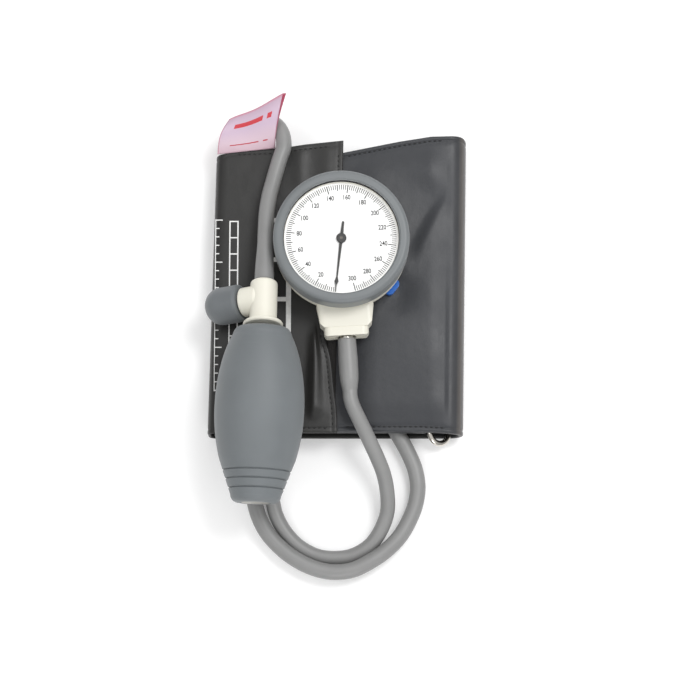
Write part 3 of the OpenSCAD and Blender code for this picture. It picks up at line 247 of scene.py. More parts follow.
def along(points, x):
    """Height of a line through the points, at x."""
    if x <= points[0][0]:
        return points[0][1]
    for (x0, y0), (x1, y1) in zip(points, points[1:]):
        if x <= x1:
            return y0 + (y1 - y0) * (x - x0) / (x1 - x0)
    return points[-1][1]


def flap_far(x):
    return along([(-61.7, 66.5), (-48.7, 68.5), (-30.7, 69.2), (-23.7, 70.1), (-16, 71.3),
                  (2.6, 73.3)], x)


def far_edge(x, left):
    """The far edge of base and pocket, from its left end to the rounded corner."""
    if x > corner_x:
        return corner_y + math.sqrt(max(corner_round ** 2 - (x - corner_x) ** 2, 0))
    return along([(-46.2, left), (2.6, 68.1), (30, 73.7), (46, 76.3),
                  (corner_x, corner_y + corner_round)], x)


def pocket_far(x):
    return far_edge(x, 59.7)


def pocket_near(x):
    return along([(40, -70.6), (corner_x, near_y)], x)


def flap_slide(x, y):
    """How far the flap's free edge is pushed back from straight, in mm."""
    bow = along([(-71.7, 0), (-65, 0.2), (-60, 0.6), (-51, 2.0), (-42, 2.9), (-36, 3.7),
                 (-31, 5.0), (-27, 6.4), (-20, 7.0), (-8, 5), (10, 2), (30, 0)], y)
    return bow * eased((x + 13) / 12)


def flap_lift(x, y):
    """How far the flap stands above its flat place, in mm."""
    clear = eased((-y - 18) / 10) * eased((y + 66) / 7)
    from_top = x + 11.4 - 0.03 * (y + 50)
    ridge = 2.0 * hump(from_top, 2.4 if from_top < 0 else 5.0) * clear
    roll = 0.5 * hump(x - 1.2, 5) * clear * (0.6 + 0.4 * math.sin((y + 12) / 7.5))
    top = eased((y - 46) / 8)
    far = (0.55 * hump(x + 18.4, 3.2) + 0.4 * hump(x + 5, 4)) * top
    left = 0.16 * math.sin(y / 3.1 + 0.06 * x) * hump(x + 50, 10) * eased((y - 30) / 12)
    edge = eased((y - near_y) / 5) * eased((flap_far(x) - y) / 5)
    return (ridge + roll) * eased((y - near_y) / 9) + (far + left) * edge


def flap_held(x):
    """Share of its lift that the flap has at x: none where it turns down at the left."""
    return eased((x + 50) / 6)


def clip_gap(x, y):
    """Distance from the clip under the gauge, in mm."""
    a = Vector((8, 14))
    b = Vector((29, -2.4))
    p = Vector((x, y))
    u = min(max((p - a).dot(b - a) / (b - a).length_squared, 0), 1)
    return (p - a.lerp(b, u)).length


def pocket_puff(x, y):
    """How far the pocket's upper face stands above its flat place, in mm."""
    inside = eased((x - 3) / 16) * eased((58 - x) / 14)
    inside *= eased((y - pocket_near(x)) / 16) * eased((pocket_far(x) - y) / 18)
    s = min(max(((x - 36) * 0.41 + (y - 10) * 0.91) / 50, 0), 1)
    past = x - 31.5 - 26.5 * s ** 1.3
    valley = eased(1 + past / 32) if past < 0 else 1 - eased(past / (7.5 - 5.5 * s))
    crease = -1.6 * valley * eased(s * 4) * eased((1 - s) * 3.5)
    slow = 0.35 * math.sin(y / 17 + x / 23 + 1.2) + 0.18 * math.sin(y / 9 - x / 13)
    free = 1 - hump(clip_gap(x, y), 9)
    return inside * free * (1.5 + crease + slow)


def arc(x, z, radius, first, sweep, steps):
    """Points round (x, z) in the band's long section, from the first angle in degrees."""
    angles = [math.radians(first + sweep * k / steps) for k in range(steps + 1)]
    return [(x + radius * math.cos(a), z + radius * math.sin(a)) for a in angles]


def band_stations():
    """(x, z, half thickness, level) along the band's middle, from the flap to the bar."""
    hem_steps = (0, 0.12, 0.3, 0.55, 0.9, 1.4, 2.0, 2.6, 3.2, 4.0)
    rows = [(flap_start - d, flap_z, half_single, "flap") for d in hem_steps]
    hem_x = flap_start - hem_steps[-1]
    for k in range(1, 62):
        rows.append((hem_x + (left_x - hem_x) * k / 61, flap_z, half_single, "flap"))
    upper = arc(left_x, flap_z - left_round, left_round, 90, 90, 10)
    lower = arc(left_x, base_z + left_round, left_round, 180, 90, 10)
    rows += [(x, z, half_single, k / 20) for k, (x, z) in enumerate(upper) if k]
    rows += [(left_x - left_round, z, half_single, 0.5) for z in (12.2, 10.8, 9.4, 8.0, 6.6)]
    rows += [(x, z, half_single, 0.5 + k / 20) for k, (x, z) in enumerate(lower) if k]
    for k in range(1, 40):
        rows.append((left_x + (right_x - left_x) * k / 40, base_z, half_single, "base"))
    right = arc(right_x, (base_z + pocket_z) / 2, right_round, -90, 180, 26)
    for k, (x, z) in enumerate(right):
        welt = 0.22 if 18 <= k <= 20 else 0
        half = half_single + (half_double - half_single) * k / 26 + welt
        rows.append((x, z, half, "base" if k < 13 else "pocket"))
    for k in range(1, 84):
        rows.append((right_x + (turn_x - right_x) * k / 84, pocket_z, half_double, "pocket"))
    turn = arc(turn_x, (pocket_z + low_z) / 2, turn_round, 90, 180, 12)
    rows += [(x, z, half_double, "low") for x, z in turn]
    for k in range(1, 30):
        rows.append((turn_x + (tuck_x - turn_x) * k / 29, low_z, half_double, "low"))
    for k in range(1, 9):
        u = k / 8
        z = low_z - 1.3 * eased(u * 0.78)
        rows.append((tuck_x + 6.9 * u, z, half_double - 0.4 * u, "low"))
    return rows


def edges_at(x, level):
    """Near and far ends of the band's width at a station, as points in plan."""
    middle = (x + cuff_shift) * math.cos(lean)
    near_x = middle + near_y * math.sin(lean)
    far_x = middle + 71 * math.sin(lean)
    if level == "flap":
        return (near_x, near_y), (far_x, flap_far(far_x))
    if level == "base":
        return (near_x, near_y), (far_x, far_edge(far_x, 65.2))
    if level in ("pocket", "low"):
        return (near_x, pocket_near(near_x)), (far_x, pocket_far(far_x))
    return (near_x, near_y), (far_x, left_far - 1.5 * level)


def build(name, points, faces, material, uvs=None, smooth=True):
    """A mesh piece from points in millimetres, which rides on the cuff and housings."""
    data = bpy.data.meshes.new(name)
    data.from_pydata([Vector(p) * MM for p in points], [], faces)
    data.materials.append(material)
    if uvs:
        layer = data.uv_layers.new(name="cloth")
        for loop in data.loops:
            layer.data[loop.index].uv = uvs[loop.vertex_index]
    for polygon in data.polygons:
        polygon.use_smooth = smooth
    data.validate()
    piece = bpy.data.objects.new(name, data)
    scene.collection.objects.link(piece)
    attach(piece, "cuff_and_housings")
    return piece


def widths(total):
    """Distances from the near edge at which the band's points lie."""
    inner = [edge_steps[-1] + (total - 2 * edge_steps[-1]) * k / middle_steps
             for k in range(1, middle_steps)]
    return edge_steps + inner + [total - d for d in reversed(edge_steps)]


def round_edge(d, radius):
    """Share of the full thickness at d from a rounded edge."""
    return math.sqrt(max(1 - (1 - min(d / radius, 1)) ** 2, 0))


def edge_shape(d, dip):
    """Share of the full thickness, d from an edge: a turned edge, then the seam's dip."""
    return max(round_edge(d, 0.75), 0.04) * (1 - dip * hump(d - seam, 0.45))


def runs_and_normals(rows):
    """Length along the cloth and the normal of its middle line, at each station."""
    runs, normals = [0.0], []
    for a, b in zip(rows, rows[1:]):
        runs.append(runs[-1] + math.hypot(b[0] - a[0], b[1] - a[1]))
    for before, after in zip(rows[:1] + rows, rows[1:] + rows[-1:]):
        tx, tz = after[0] - before[0], after[1] - before[1]
        size = math.hypot(tx, tz)
        normals.append((-tz / size, tx / size))
    return runs, normals


def closed_sheet(columns, rows):
    """Faces of a closed sheet, whose upper points come row by row and then its lower ones."""
    shift = columns * rows
    faces = []
    for j in range(rows - 1):
        for i in range(columns - 1):
            a = j * columns + i
            b, c, d = a + 1, a + columns + 1, a + columns
            faces += [(a, b, c, d), (a + shift, d + shift, c + shift, b + shift)]
    rim = ([i for i in range(columns)]
           + [j * columns + columns - 1 for j in range(1, rows)]
           + [(rows - 1) * columns + i for i in range(columns - 2, -1, -1)]
           + [j * columns for j in range(rows - 2, 0, -1)])
    for a, b in zip(rim, rim[1:] + rim[:1]):
        faces.append((a, a + shift, b + shift, b))
    return faces


def band_lift(px, py, level, x):
    if level == "flap":
        return flap_lift(px, py) * flap_held(x)
    if level == "pocket" and x < right_x:
        return pocket_puff(px, py)
    return 0.0


def band_mesh():
    """Closed skin of the folded band: points, faces, places on the cloth, and its length."""
    rows = band_stations()
    runs, normals = runs_and_normals(rows)
    length = runs[-1]
    up, down, places = [], [], []
    for (x, z, half, level), run, (nx, nz) in zip(rows, runs, normals):
        near, far = edges_at(x, level)
        total = math.hypot(far[0] - near[0], far[1] - near[1])
        dip = 0.22 if half < 1 else 0.3
        ends = edge_shape(run, dip) if run < 6 else 1
        ends *= edge_shape(length - run, 0) if length - run < 2 else 1
        for d in widths(total):
            px = near[0] + (far[0] - near[0]) * d / total
            py = near[1] + (far[1] - near[1]) * d / total
            t = half * edge_shape(min(d, total - d), dip) * ends
            lift = band_lift(px, py, level, x)
            if level == "flap":
                px -= flap_slide(px, py)
            up.append((px - nx * t, py, z + lift - nz * t))
            down.append((px + nx * t, py, z + lift + nz * t))
            places.append((run * MM, d * MM))
    return up + down, closed_sheet(len(up) // len(rows), len(rows)), places + places, length


def feed(links, socket, value):
    """Sets a socket to a constant, or links another node's output to it."""
    if isinstance(value, bpy.types.NodeSocket):
        links.new(value, socket)
    else:
        socket.default_value = value


def combined(nodes, links, operation, *values):
    """The values put through one operation of arithmetic."""
    node = nodes.new("ShaderNodeMath")
    node.operation = operation
    for socket, value in zip(node.inputs, values):
        feed(links, socket, value)
    return node.outputs["Value"]


def laid_over(nodes, links, under, over, share, blend="MIX"):
    """One colour laid over another by a share."""
    node = nodes.new("ShaderNodeMix")
    node.data_type = "RGBA"
    node.blend_type = blend
    feed(links, node.inputs["A"], under)
    feed(links, node.inputs["B"], over)
    feed(links, node.inputs["Factor"], share)
    return node.outputs["Result"]


def coated_cloth(name, plain, pocket, trim, painted_fold_light, roughness):
    """Tight plain weave under a thin coat, with two paler welts along the fold. The flap is
    painted darker than the pocket: painted shade and sheen on one and the same cloth. A paler
    band over the fold's top is painted light."""
    coloured_run = 0.3
    thread_pitch = 0.00042
    material, nodes, links, skin = new_material(name)
    layer = nodes.new("ShaderNodeUVMap")
    layer.uv_map = "cloth"
    cloth = layer.outputs["UV"]
    cloud = clouds(nodes, links, cloth, 55, 5)
    split = nodes.new("ShaderNodeSeparateXYZ")
    links.new(cloth, split.inputs["Vector"])
    panel = nodes.new("ShaderNodeMapRange")
    panel.inputs["From Max"].default_value = coloured_run
    links.new(split.outputs["X"], panel.inputs["Value"])
    # The flap's colour is painted darker than the pocket's: painted shade and sheen on one
    # cloth, whose flap and pocket show the same face.
    stops = [(0.180, plain), (0.199, pocket), (0.2022, trim), (0.2035, trim),
             # The band at the fold's top is painted paler than the pocket: painted light where
             # the fold lies in shade.
             (0.2040, pocket), (0.2046, trim), (0.2060, trim), (0.2068, painted_fold_light),
             (0.2110, pocket)]
    stops = [(run / coloured_run, colour) for run, colour in stops]
    colour = colours_along(nodes, links, panel.outputs["Result"], stops)
    shade = colours_along(nodes, links, cloud, [(0.3, (0.88, 0.88, 0.88)), (0.72, (1, 1, 1))])
    worn = laid_over(nodes, links, colour, shade, 1, "MULTIPLY")
    links.new(worn, skin.inputs["Base Color"])
    uneven_gloss(nodes, links, skin, cloud, roughness - 0.05, roughness + 0.07)
    weave = nodes.new("ShaderNodeVectorMath")
    weave.operation = "SCALE"
    weave.inputs["Scale"].default_value = 2 * math.pi / thread_pitch
    links.new(cloth, weave.inputs[0])
    threads = nodes.new("ShaderNodeSeparateXYZ")
    links.new(weave.outputs["Vector"], threads.inputs["Vector"])
    warp = combined(nodes, links, "SINE", threads.outputs["X"])
    weft = combined(nodes, links, "SINE", threads.outputs["Y"])
    cross = combined(nodes, links, "MULTIPLY", warp, weft)
    bump = raised(nodes, links, skin.inputs["Normal"], cross, 0.12, 0.00006)
    pucker = clouds(nodes, links, cloth, 240, 3)
    raised(nodes, links, bump.inputs["Normal"], pucker, 0.25, 0.0004)
    skin.inputs["Sheen Weight"].default_value = 0.12
    skin.inputs["Sheen Roughness"].default_value = 0.4
    skin.inputs["Specular IOR Level"].default_value = 0.38
    return material


# The flap's darker colour is painted shade, and the fourth colour is painted light on the
# fold's top.
cuff_cloth = coated_cloth("cuff_cloth", (0.0192, 0.0188, 0.0180), (0.031, 0.033, 0.038),
                          (0.105, 0.096, 0.090), (0.046, 0.047, 0.051), 0.40)
points, faces, places, band_length = band_mesh()
cuff_band = build("cuff_band", points, faces, cuff_cloth, places)
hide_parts("cuff_flap", "cuff_crease", "cuff_base", "cuff_fold", "cuff_pocket",
            "loop_hem")

# Sewn sleeve at the pocket's end: the cloth turned round the loop's straight bar and
# stitched down, open at both ends where the loop's round ends begin.
bar_x, bar_z = 45.1, 9.5
sleeve_radius = 2.05


def bar_sleeve_mesh():
    points, faces, places = [], [], []
    rings = [(-68, 0.7), (-67.6, 0.9), (-66.8, 1), (-64, 1), (-40, 1.02), (-10, 1),
             (20, 1.02), (50, 1), (60.8, 1), (61.6, 0.9), (62, 0.7)]
    sides = 40
    for y, share in rings:
        for r, out in ((sleeve_radius + 0.6 * share, 1), (sleeve_radius - 0.55 * share, 0)):
            for k in range(sides):
                a = 2 * math.pi * k / sides
                x = bar_x + cuff_shift + r * math.cos(a)
                z = bar_z + r * math.sin(a)
                points.append((x * math.cos(lean) + y * math.sin(lean),
                               y * math.cos(lean) - x * math.sin(lean), z))
                places.append(((a * r + 5 * out) * MM, (y + 70) * MM))
    ring = 2 * sides
    last = (len(rings) - 1) * ring
    for k in range(sides):
        q = (k + 1) % sides
        for a in range(0, last, ring):
            b = a + ring
            faces.append((a + k, b + k, b + q, a + q))
            faces.append((a + sides + k, a + sides + q, b + sides + q, b + sides + k))
        faces.append((k, q, sides + q, sides + k))
        faces.append((last + k, last + sides + k, last + sides + q, last + q))
    return points, faces, places


points, faces, places = bar_sleeve_mesh()
bar_sleeve = build("bar_sleeve", points, faces, cuff_cloth, places)

# Stitching: black polyester thread in lock stitch, a stitch of 1.6 mm every 2.5 mm, set
# 2.5 mm inside the turned edges of the flap and the pocket.
pitch = 2.5
stitch = 1.6
free_x = 1.4
thread_radius = 0.3
flap_dip = 0.09
pocket_dip = 0.32


def thread_bead(a, b, points, faces):
    """One stitch from a to b, fat in the middle, as a closed bead."""
    way = (b - a).normalized()
    side = way.cross(Vector((0, 0, 1))).normalized()
    up = side.cross(way)
    start = len(points)
    sections = [(0.0, 0.25, -0.6), (0.18, 0.85, -0.1), (0.5, 1, 0.15), (0.82, 0.85, -0.1),
                (1.0, 0.25, -0.6)]
    for u, share, raise_by in sections:
        centre = a.lerp(b, u) + up * thread_radius * raise_by
        for k in range(6):
            t = math.pi * k / 3
            ray = math.cos(t) * side + math.sin(t) * up
            points.append(centre + thread_radius * share * ray)
    last = start + 6 * (len(sections) - 1)
    for r in range(start, last, 6):
        for k in range(6):
            q = (k + 1) % 6
            faces.append((r + k, r + q, r + 6 + q, r + 6 + k))
    faces.append(tuple(start + k for k in reversed(range(6))))
    faces.append(tuple(last + k for k in range(6)))


def stitch_row(line, surface, points, faces):
    """Stitches along a line in plan, on the given surface."""
    line = [Vector(p) for p in line]
    total = sum((b - a).length for a, b in zip(line, line[1:]))

    def at(s):
        for a, b in zip(line, line[1:]):
            step = (b - a).length
            if s <= step:
                return surface(*a.lerp(b, s / step))
            s -= step
        return surface(*line[-1])

    for k in range(int(total / pitch)):
        thread_bead(at(k * pitch), at(k * pitch + stitch), points, faces)


def on_flap(x, y):
    z = flap_z + half_single - flap_dip + flap_lift(x, y) * flap_held(x)
    return Vector((x - flap_slide(x, y), y, z))


def on_pocket(x, y):
    return Vector((x, y, pocket_z + half_double - pocket_dip + pocket_puff(x, y)))


free_edge = [(free_x + y * math.sin(lean) - seam, y) for y in range(-68, 71, 4)]
flap_near = [(x, near_y + seam) for x in range(-52, 0, 4)]
flap_top = [(x, flap_far(x) - seam) for x in range(-49, -1, 3)]
pocket_edge_near = [(x, pocket_near(x) + seam) for x in range(4, 53, 4)]
pocket_edge_far = [(x, pocket_far(x) - seam) for x in range(5, 56, 3)]
points, faces = [], []
for line in (free_edge, flap_near, flap_top):
    stitch_row(line, on_flap, points, faces)
for line in (pocket_edge_near, pocket_edge_far):
    stitch_row(line, on_pocket, points, faces)
thread, nodes, links, skin = new_material("thread")
place, cloud = cloudy_colour(nodes, links, skin, (0.008, 0.008, 0.008), 0.3, 900)
uneven_gloss(nodes, links, skin, cloud, 0.5, 0.65)
build("stitching", points, faces, thread)

# Fastening: a stiff hook patch under the flap and a brushed loop patch on the pocket,
# each a woven tape sewn down all round. They grip each other where the flap lies.
tape_width = 38
tape_near, tape_far = near_y + 8, 55.7
tape_right = free_x - 1.5
tape_thick = 0.78
tape_gap = 0.03
nap_height = 0.02


def tape_surface(name, z0, material, slide):
    """A tape with rounded edges and a nap that is a little uneven."""
    nx, ny = 40, 110
    length = tape_far - tape_near
    points, places = [], []
    for side in (1, -1):
        for j in range(ny + 1):
            for i in range(nx + 1):
                u, v = i / nx, j / ny
                y = tape_near + length * v
                x = tape_right - tape_width * (1 - u) + y * math.sin(lean)
                d = min(u * tape_width, (1 - u) * tape_width, v * length, (1 - v) * length)
                edge = round_edge(d, 0.4)
                nap = nap_height * math.sin(7.1 * x + 1.3 * y) * math.sin(5.3 * y - 0.7 * x)
                z = z0 + side * (tape_thick / 2 * max(edge, 0.1)) + nap * edge
                points.append((x - slide(x, y), y, z))
                places.append(((x - tape_right + tape_width) * MM, y * MM))
    faces = closed_sheet(nx + 1, ny + 1)
    piece = build(name, points, faces, material, places)
    return piece


def fastening_tape(name, colour, scale, strength):
    material, nodes, links, skin = new_material(name)
    place, cloud = cloudy_colour(nodes, links, skin, colour, 0.25, 600)
    uneven_gloss(nodes, links, skin, cloud, 0.7, 0.9)
    fine_grain(nodes, links, skin, place, scale, strength, 0.0004)
    return material


hook_tape = fastening_tape("hook_tape", (0.035, 0.035, 0.037), 1500, 0.9)
loop_tape = fastening_tape("loop_tape", (0.022, 0.020, 0.019), 900, 0.7)
hook_z = flap_z - half_single - tape_gap - tape_thick / 2
hooks = tape_surface("hook_fastener", hook_z, hook_tape, flap_slide)
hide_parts("hook_patch")
loop_z = pocket_z + half_double + tape_gap + tape_thick / 2
loops = tape_surface("loop_fastener", loop_z, loop_tape, lambda x, y: 0)
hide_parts("loop_patch")

# Bladder: two sheets of rubber welded all round, nearly empty, folded once inside the
# pocket. Its port block is moulded on and takes both tubes.
bladder_near, bladder_far = -62, 52
bladder_over, bladder_under = 75.1, 65.1
bladder_half = 0.9
bladder_rubber = rubber("bladder_rubber", (0.05, 0.05, 0.052), 0.55, 0.1)


def bladder_mesh():
    rows = [(turn_x + bladder_over * (1 - k / 60), pocket_z) for k in range(61)]
    rows += arc(turn_x, (pocket_z + low_z) / 2, turn_round, 90, 180, 12)[1:]
    rows += [(turn_x + bladder_under * k / 40, low_z) for k in range(1, 41)]
    runs, normals = runs_and_normals(rows)
    count = 60
    top, low = [], []
    for (x, z), run, (nx, nz) in zip(rows, runs, normals):
        for i in range(count + 1):
            y = bladder_near + (bladder_far - bladder_near) * i / count
            d = min(run, runs[-1] - run, y - bladder_near, bladder_far - y)
            t = bladder_half * (0.25 + 0.75 * eased((d - 3) / 6))
            px = x + cuff_shift + y * math.sin(lean)
            top.append((px - nx * t, y, z - nz * t))
            low.append((px + nx * t, y, z + nz * t))
    return top + low, closed_sheet(count + 1, len(rows))


points, faces = bladder_mesh()
bag = build("bladder_bag", points, faces, bladder_rubber)
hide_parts("bladder")

# Metal loop: hard-drawn steel wire, bent, butt-welded and chrome plated. It swings on the
# bar that the cuff's end wraps.


def plated_metal(name, colour, roughness):
    material, nodes, links, skin = new_material(name)
    place, cloud = cloudy_colour(nodes, links, skin, colour, 0.05, 160)
    uneven_gloss(nodes, links, skin, cloud, roughness, roughness + 0.1)
    fine_grain(nodes, links, skin, place, 1800, 0.03)
    skin.inputs["Metallic"].default_value = 1
    return material


loop_chrome = plated_metal("loop_chrome", (0.66, 0.63, 0.58), 0.14)
dress(loop_chrome, "metal_loop")

# Plated fittings: nozzle, spigot and rivet, turned from brass and nickel plated, pressed in
# place. The bulb's intake fitting has the same plating, dulled by handling.
nickel = plated_metal("nickel", (0.60, 0.585, 0.55), 0.22)
dress(nickel, "gauge_nozzle", "clip_rivet", "valve_spigot")
dull_nickel = plated_metal("dull_nickel", (0.40, 0.39, 0.36), 0.32)
dress(dull_nickel, "intake_body")

# Label: a satin ribbon folded in two and caught in the seam at the flap's far edge. It
# stands up over the tube, its back layer a little to the right.
seam_left, seam_right = Vector((-58.9, 66, 18.9)), Vector((-31.8, 69, 18.9))
fold_left, fold_right = Vector((-52.9, 80.9, 26.0)), Vector((-26.8, 93.6, 30.0))
ribbon_half = 0.14


def ribbon_point(u, v):
    """Place on the ribbon: u from the seam (0) over the fold (1) back to the seam (2)."""
    s = 2 - u if u > 1 else u
    bow = math.sin(math.pi * s)
    p = seam_left.lerp(seam_right, v).lerp(fold_left.lerp(fold_right, v), s)
    p.z += 3.0 * bow + 0.45
    p.z += 0.7 * math.sin(2.2 * math.pi * v + 2.4 * s + 0.6) * bow
    p.x += 1.2 * (1 - s) ** 6 * v ** 2 - 1.3 * bow * (1 - v) ** 2
    p.y += 0.8 * math.sin(2 * math.pi * v + 1) * s * (1 - v)
    p.y -= 0.5 * math.sin(math.pi * v) * s
    if u > 1:
        p.z -= 0.75 * math.sin(math.pi * min(s * 1.08, 1)) ** 0.6 + 0.12
        p.x += 1.7 * s * s * (0.2 + 0.8 * v)
        p.y += 0.35 * s
    return p


def ribbon_mesh():
    us = [k / 40 for k in range(38)]
    us += [0.945, 0.965, 0.98, 0.992, 1.0, 1.008, 1.02, 1.035]
    us += [1.055 + 0.945 * k / 36 for k in range(37)]
    count = 36
    rows = [[ribbon_point(u, i / count) for i in range(count + 1)] for u in us]
    points, places = [], []
    for side in (-1, 1):
        for j, row in enumerate(rows):
            for i, p in enumerate(row):
                along_u = rows[min(j + 1, len(rows) - 1)][i] - rows[max(j - 1, 0)][i]
                along_v = row[min(i + 1, count)] - row[max(i - 1, 0)]
                normal = along_v.cross(along_u).normalized()
                points.append(p + normal * side * ribbon_half)
                places.append((i / count, us[j]))
    return points, closed_sheet(count + 1, len(rows)), places


def greys(*stops):
    return [(at, (value, value, value)) for at, value in stops]


def satin_ribbon(name):
    """Pale pink satin with thin red borders and bars. Its reverse is a deep red."""
    material, nodes, links, skin = new_material(name)
    layer = nodes.new("ShaderNodeUVMap")
    layer.uv_map = "cloth"
    place = layer.outputs["UV"]
    split = nodes.new("ShaderNodeSeparateXYZ")
    links.new(place, split.inputs["Vector"])
    width = split.outputs["X"]
    length = combined(nodes, links, "MULTIPLY", split.outputs["Y"], 0.5)
    tone = colours_along(nodes, links, length, [
        (0.0, (0.66, 0.46, 0.53)), (0.10, (0.70, 0.53, 0.61)), (0.24, (0.56, 0.43, 0.54)),
        (0.46, (0.47, 0.35, 0.44)), (0.495, (0.50, 0.20, 0.27)), (0.51, (0.30, 0.02, 0.06)),
        (1.0, (0.42, 0.10, 0.17))])
    border = colours_along(nodes, links, width, greys(
        (0.0, 0.7), (0.008, 0.5), (0.022, 0.0), (0.985, 0.0), (1.0, 0.5)))
    edged = laid_over(nodes, links, tone, (0.52, 0.12, 0.20, 1), border)
    columns = colours_along(nodes, links, width, greys(
        (0.0, 0), (0.2, 1), (0.7, 0), (0.78, 1), (0.86, 0)), "CONSTANT")
    rows = colours_along(nodes, links, length, greys(
        (0.0, 0), (0.075, 1), (0.088, 0), (0.29, 1), (0.35, 0)), "CONSTANT")
    bars = combined(nodes, links, "MULTIPLY", columns, rows)
    woven = laid_over(nodes, links, edged, (0.50, 0.030, 0.045, 1), bars)
    links.new(woven, skin.inputs["Base Color"])
    wave = nodes.new("ShaderNodeTexWave")
    wave.bands_direction = "Y"
    wave.inputs["Scale"].default_value = 34
    wave.inputs["Distortion"].default_value = 1.5
    wave.inputs["Detail"].default_value = 2
    links.new(place, wave.inputs["Vector"])
    raised(nodes, links, skin.inputs["Normal"], wave.outputs["Fac"], 0.1, 0.0001)
    skin.inputs["Roughness"].default_value = 0.42
    skin.inputs["Sheen Weight"].default_value = 0.3
    skin.inputs["Sheen Roughness"].default_value = 0.35
    return material


label_satin = satin_ribbon("label_satin")
points, faces, places = ribbon_mesh()
ribbon = build("ribbon_label", points, faces, label_satin, places)
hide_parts("label")

# Printed marks on the flap: white screen print of a ruled scale, a ladder of steps and an
# outlined index box, a few hundredths of a millimetre thick.
rule_x, rule_top, rule_step = -59.2, 33, 4.2
ladder_x, ladder_width, ladder_step = -52.8, 3.9, 8.1
box_x, box_width, box_step = -38.2, 13.1, 19.6


def film(low, high, points, faces):
    """A thin closed film between two outlines that have as many points."""
    start, n = len(points), len(low)
    points += low + high
    faces.append(tuple(start + n + k for k in range(n)))
    faces.append(tuple(start + k for k in reversed(range(n))))
    for k in range(n):
        q = (k + 1) % n
        faces.append((start + k, start + q, start + n + q, start + n + k))


def printed_bar(x0, x1, y0, y1, points, faces):
    """A printed rectangle on the flap."""
    plan = [(x0, y0), (x1, y0), (x1, y1), (x0, y1)]
    cloth = [(x, y, flap_z + half_single + flap_lift(x, y)) for x, y in plan]
    low, high = [[(x, y, z + lift) for x, y, z in cloth] for lift in (0.02, 0.05)]
    film(low, high, points, faces)


points, faces = [], []
printed_bar(rule_x - 0.4, rule_x, -51.4, 33.4, points, faces)
for k in range(21):
    tall = 3.2 if k % 5 == 0 else 1.6
    y = rule_top - rule_step * k
    printed_bar(rule_x, rule_x + tall, y - 0.25, y + 0.25, points, faces)
for x in (ladder_x, ladder_x + ladder_width):
    printed_bar(x, x + 0.6, -41, 32.6, points, faces)
for k in range(10):
    y = 32 - ladder_step * k
    printed_bar(ladder_x + 0.6, ladder_x + ladder_width, y, y + 0.6, points, faces)
for x in (box_x, box_x + box_width):
    printed_bar(x, x + 2.4, -27, 34, points, faces)
for k in range(4):
    y = 34 - box_step * k
    printed_bar(box_x + 2.4, box_x + box_width, y - 2.2, y, points, faces)
print_white, nodes, links, skin = new_material("print_white")
place, cloud = cloudy_colour(nodes, links, skin, (0.78, 0.78, 0.77), 0.1, 500)
uneven_gloss(nodes, links, skin, cloud, 0.5, 0.65)
build("flap_print", points, faces, print_white, smooth=False)

# Gauge case, neck and collar: one cream moulding with a pressed-in collar, satin all over.
# The valve's body is moulded in the same plastic.


def moulded_plastic(name, colour, roughness, mottle=0.015, grain=0.05):
    material, nodes, links, skin = new_material(name)
    place, cloud = cloudy_colour(nodes, links, skin, colour, mottle, 45)
    uneven_gloss(nodes, links, skin, cloud, roughness - 0.03, roughness + 0.05)
    fine_grain(nodes, links, skin, place, 1400, grain)
    return material


cream = moulded_plastic("cream_plastic", (0.74, 0.72, 0.63), 0.38)
dress(cream, "gauge_case", "neck_collar", "valve_body")

# Protective ring: soft grey rubber, moulded in one piece and stretched over the case's
# rim, with a faint bloom on its skin.
ring_rubber = rubber("ring_rubber", (0.148, 0.160, 0.166), 0.42, 0.08, bloom=0.1)
dress(ring_rubber, "protective_ring")

# Window: a clear moulded disc in a soft seal. Only its outer face mirrors, and more so
# when seen from low down.
window, nodes, links, skin = new_material("window")
clear = nodes.new("ShaderNodeBsdfTransparent")
shine = nodes.new("ShaderNodeBsdfGlossy")
shine.inputs["Roughness"].default_value = 0.03
edge = nodes.new("ShaderNodeFresnel")
edge.inputs["IOR"].default_value = 1.3
side = nodes.new("ShaderNodeNewGeometry")
outer = combined(nodes, links, "SUBTRACT", 1, side.outputs["Backfacing"])
both = nodes.new("ShaderNodeMixShader")
links.new(combined(nodes, links, "MULTIPLY", edge.outputs["Fac"], outer), both.inputs["Fac"])
links.new(clear.outputs["BSDF"], both.inputs[1])
links.new(shine.outputs["BSDF"], both.inputs[2])
nodes.remove(skin)
links.new(both.outputs["Shader"], nodes["Material Output"].inputs["Surface"])
dress(window, "lens")

# Seals and discs: black rubber, moulded or punched, which seal the window, the gauge's
# nozzle and the valves.
seal_rubber = rubber("seal_rubber", (0.03, 0.03, 0.03), 0.5, 0.08)
dress(seal_rubber, "nozzle_seal", "lens_seal", "outlet_disc", "intake_disc", "release_seat")

# Dial: white enamelled disc with a printed scale, 0 to 300 in steps of 2, numbered at
# each 20. The rest of its face is plain.
dial_paint = moulded_plastic("dial_paint", (0.96, 0.96, 0.955), 0.35, 0.01, 0.02)
dress(dial_paint, "dial")
gauge_centre = Vector((1.6, 18.8, 0))
gauge_turn = math.radians(3.3)
dial_top = 39.8
zero_angle = -99.5
degrees_per_mmhg = 22.6 / 20
tick_end = 26.3
number_radius = 20.2


def on_gauge(x, y, z):
    c, s = math.cos(gauge_turn), math.sin(gauge_turn)
    return Vector((gauge_centre.x + x * c - y * s, gauge_centre.y + x * s + y * c, z))


def scale_direction(pressure):
    a = math.radians(zero_angle - pressure * degrees_per_mmhg)
    return Vector((math.cos(a), math.sin(a)))


def scale_tick(pressure, points, faces):
    """A printed tick, longer and wider at each 10 and longest at each 20."""
    inner, half = 24.0, 0.16
    if pressure % 10 == 0:
        inner, half = 23.3, 0.2
    if pressure % 20 == 0:
        inner, half = 22.4, 0.22
    out = scale_direction(pressure)
    side = Vector((-out.y, out.x)) * half
    plan = [out * inner - side, out * tick_end - side, out * tick_end + side,
            out * inner + side]
    low, high = [[on_gauge(p.x, p.y, dial_top + lift) for p in plan] for lift in (0.005, 0.03)]
    film(low, high, points, faces)


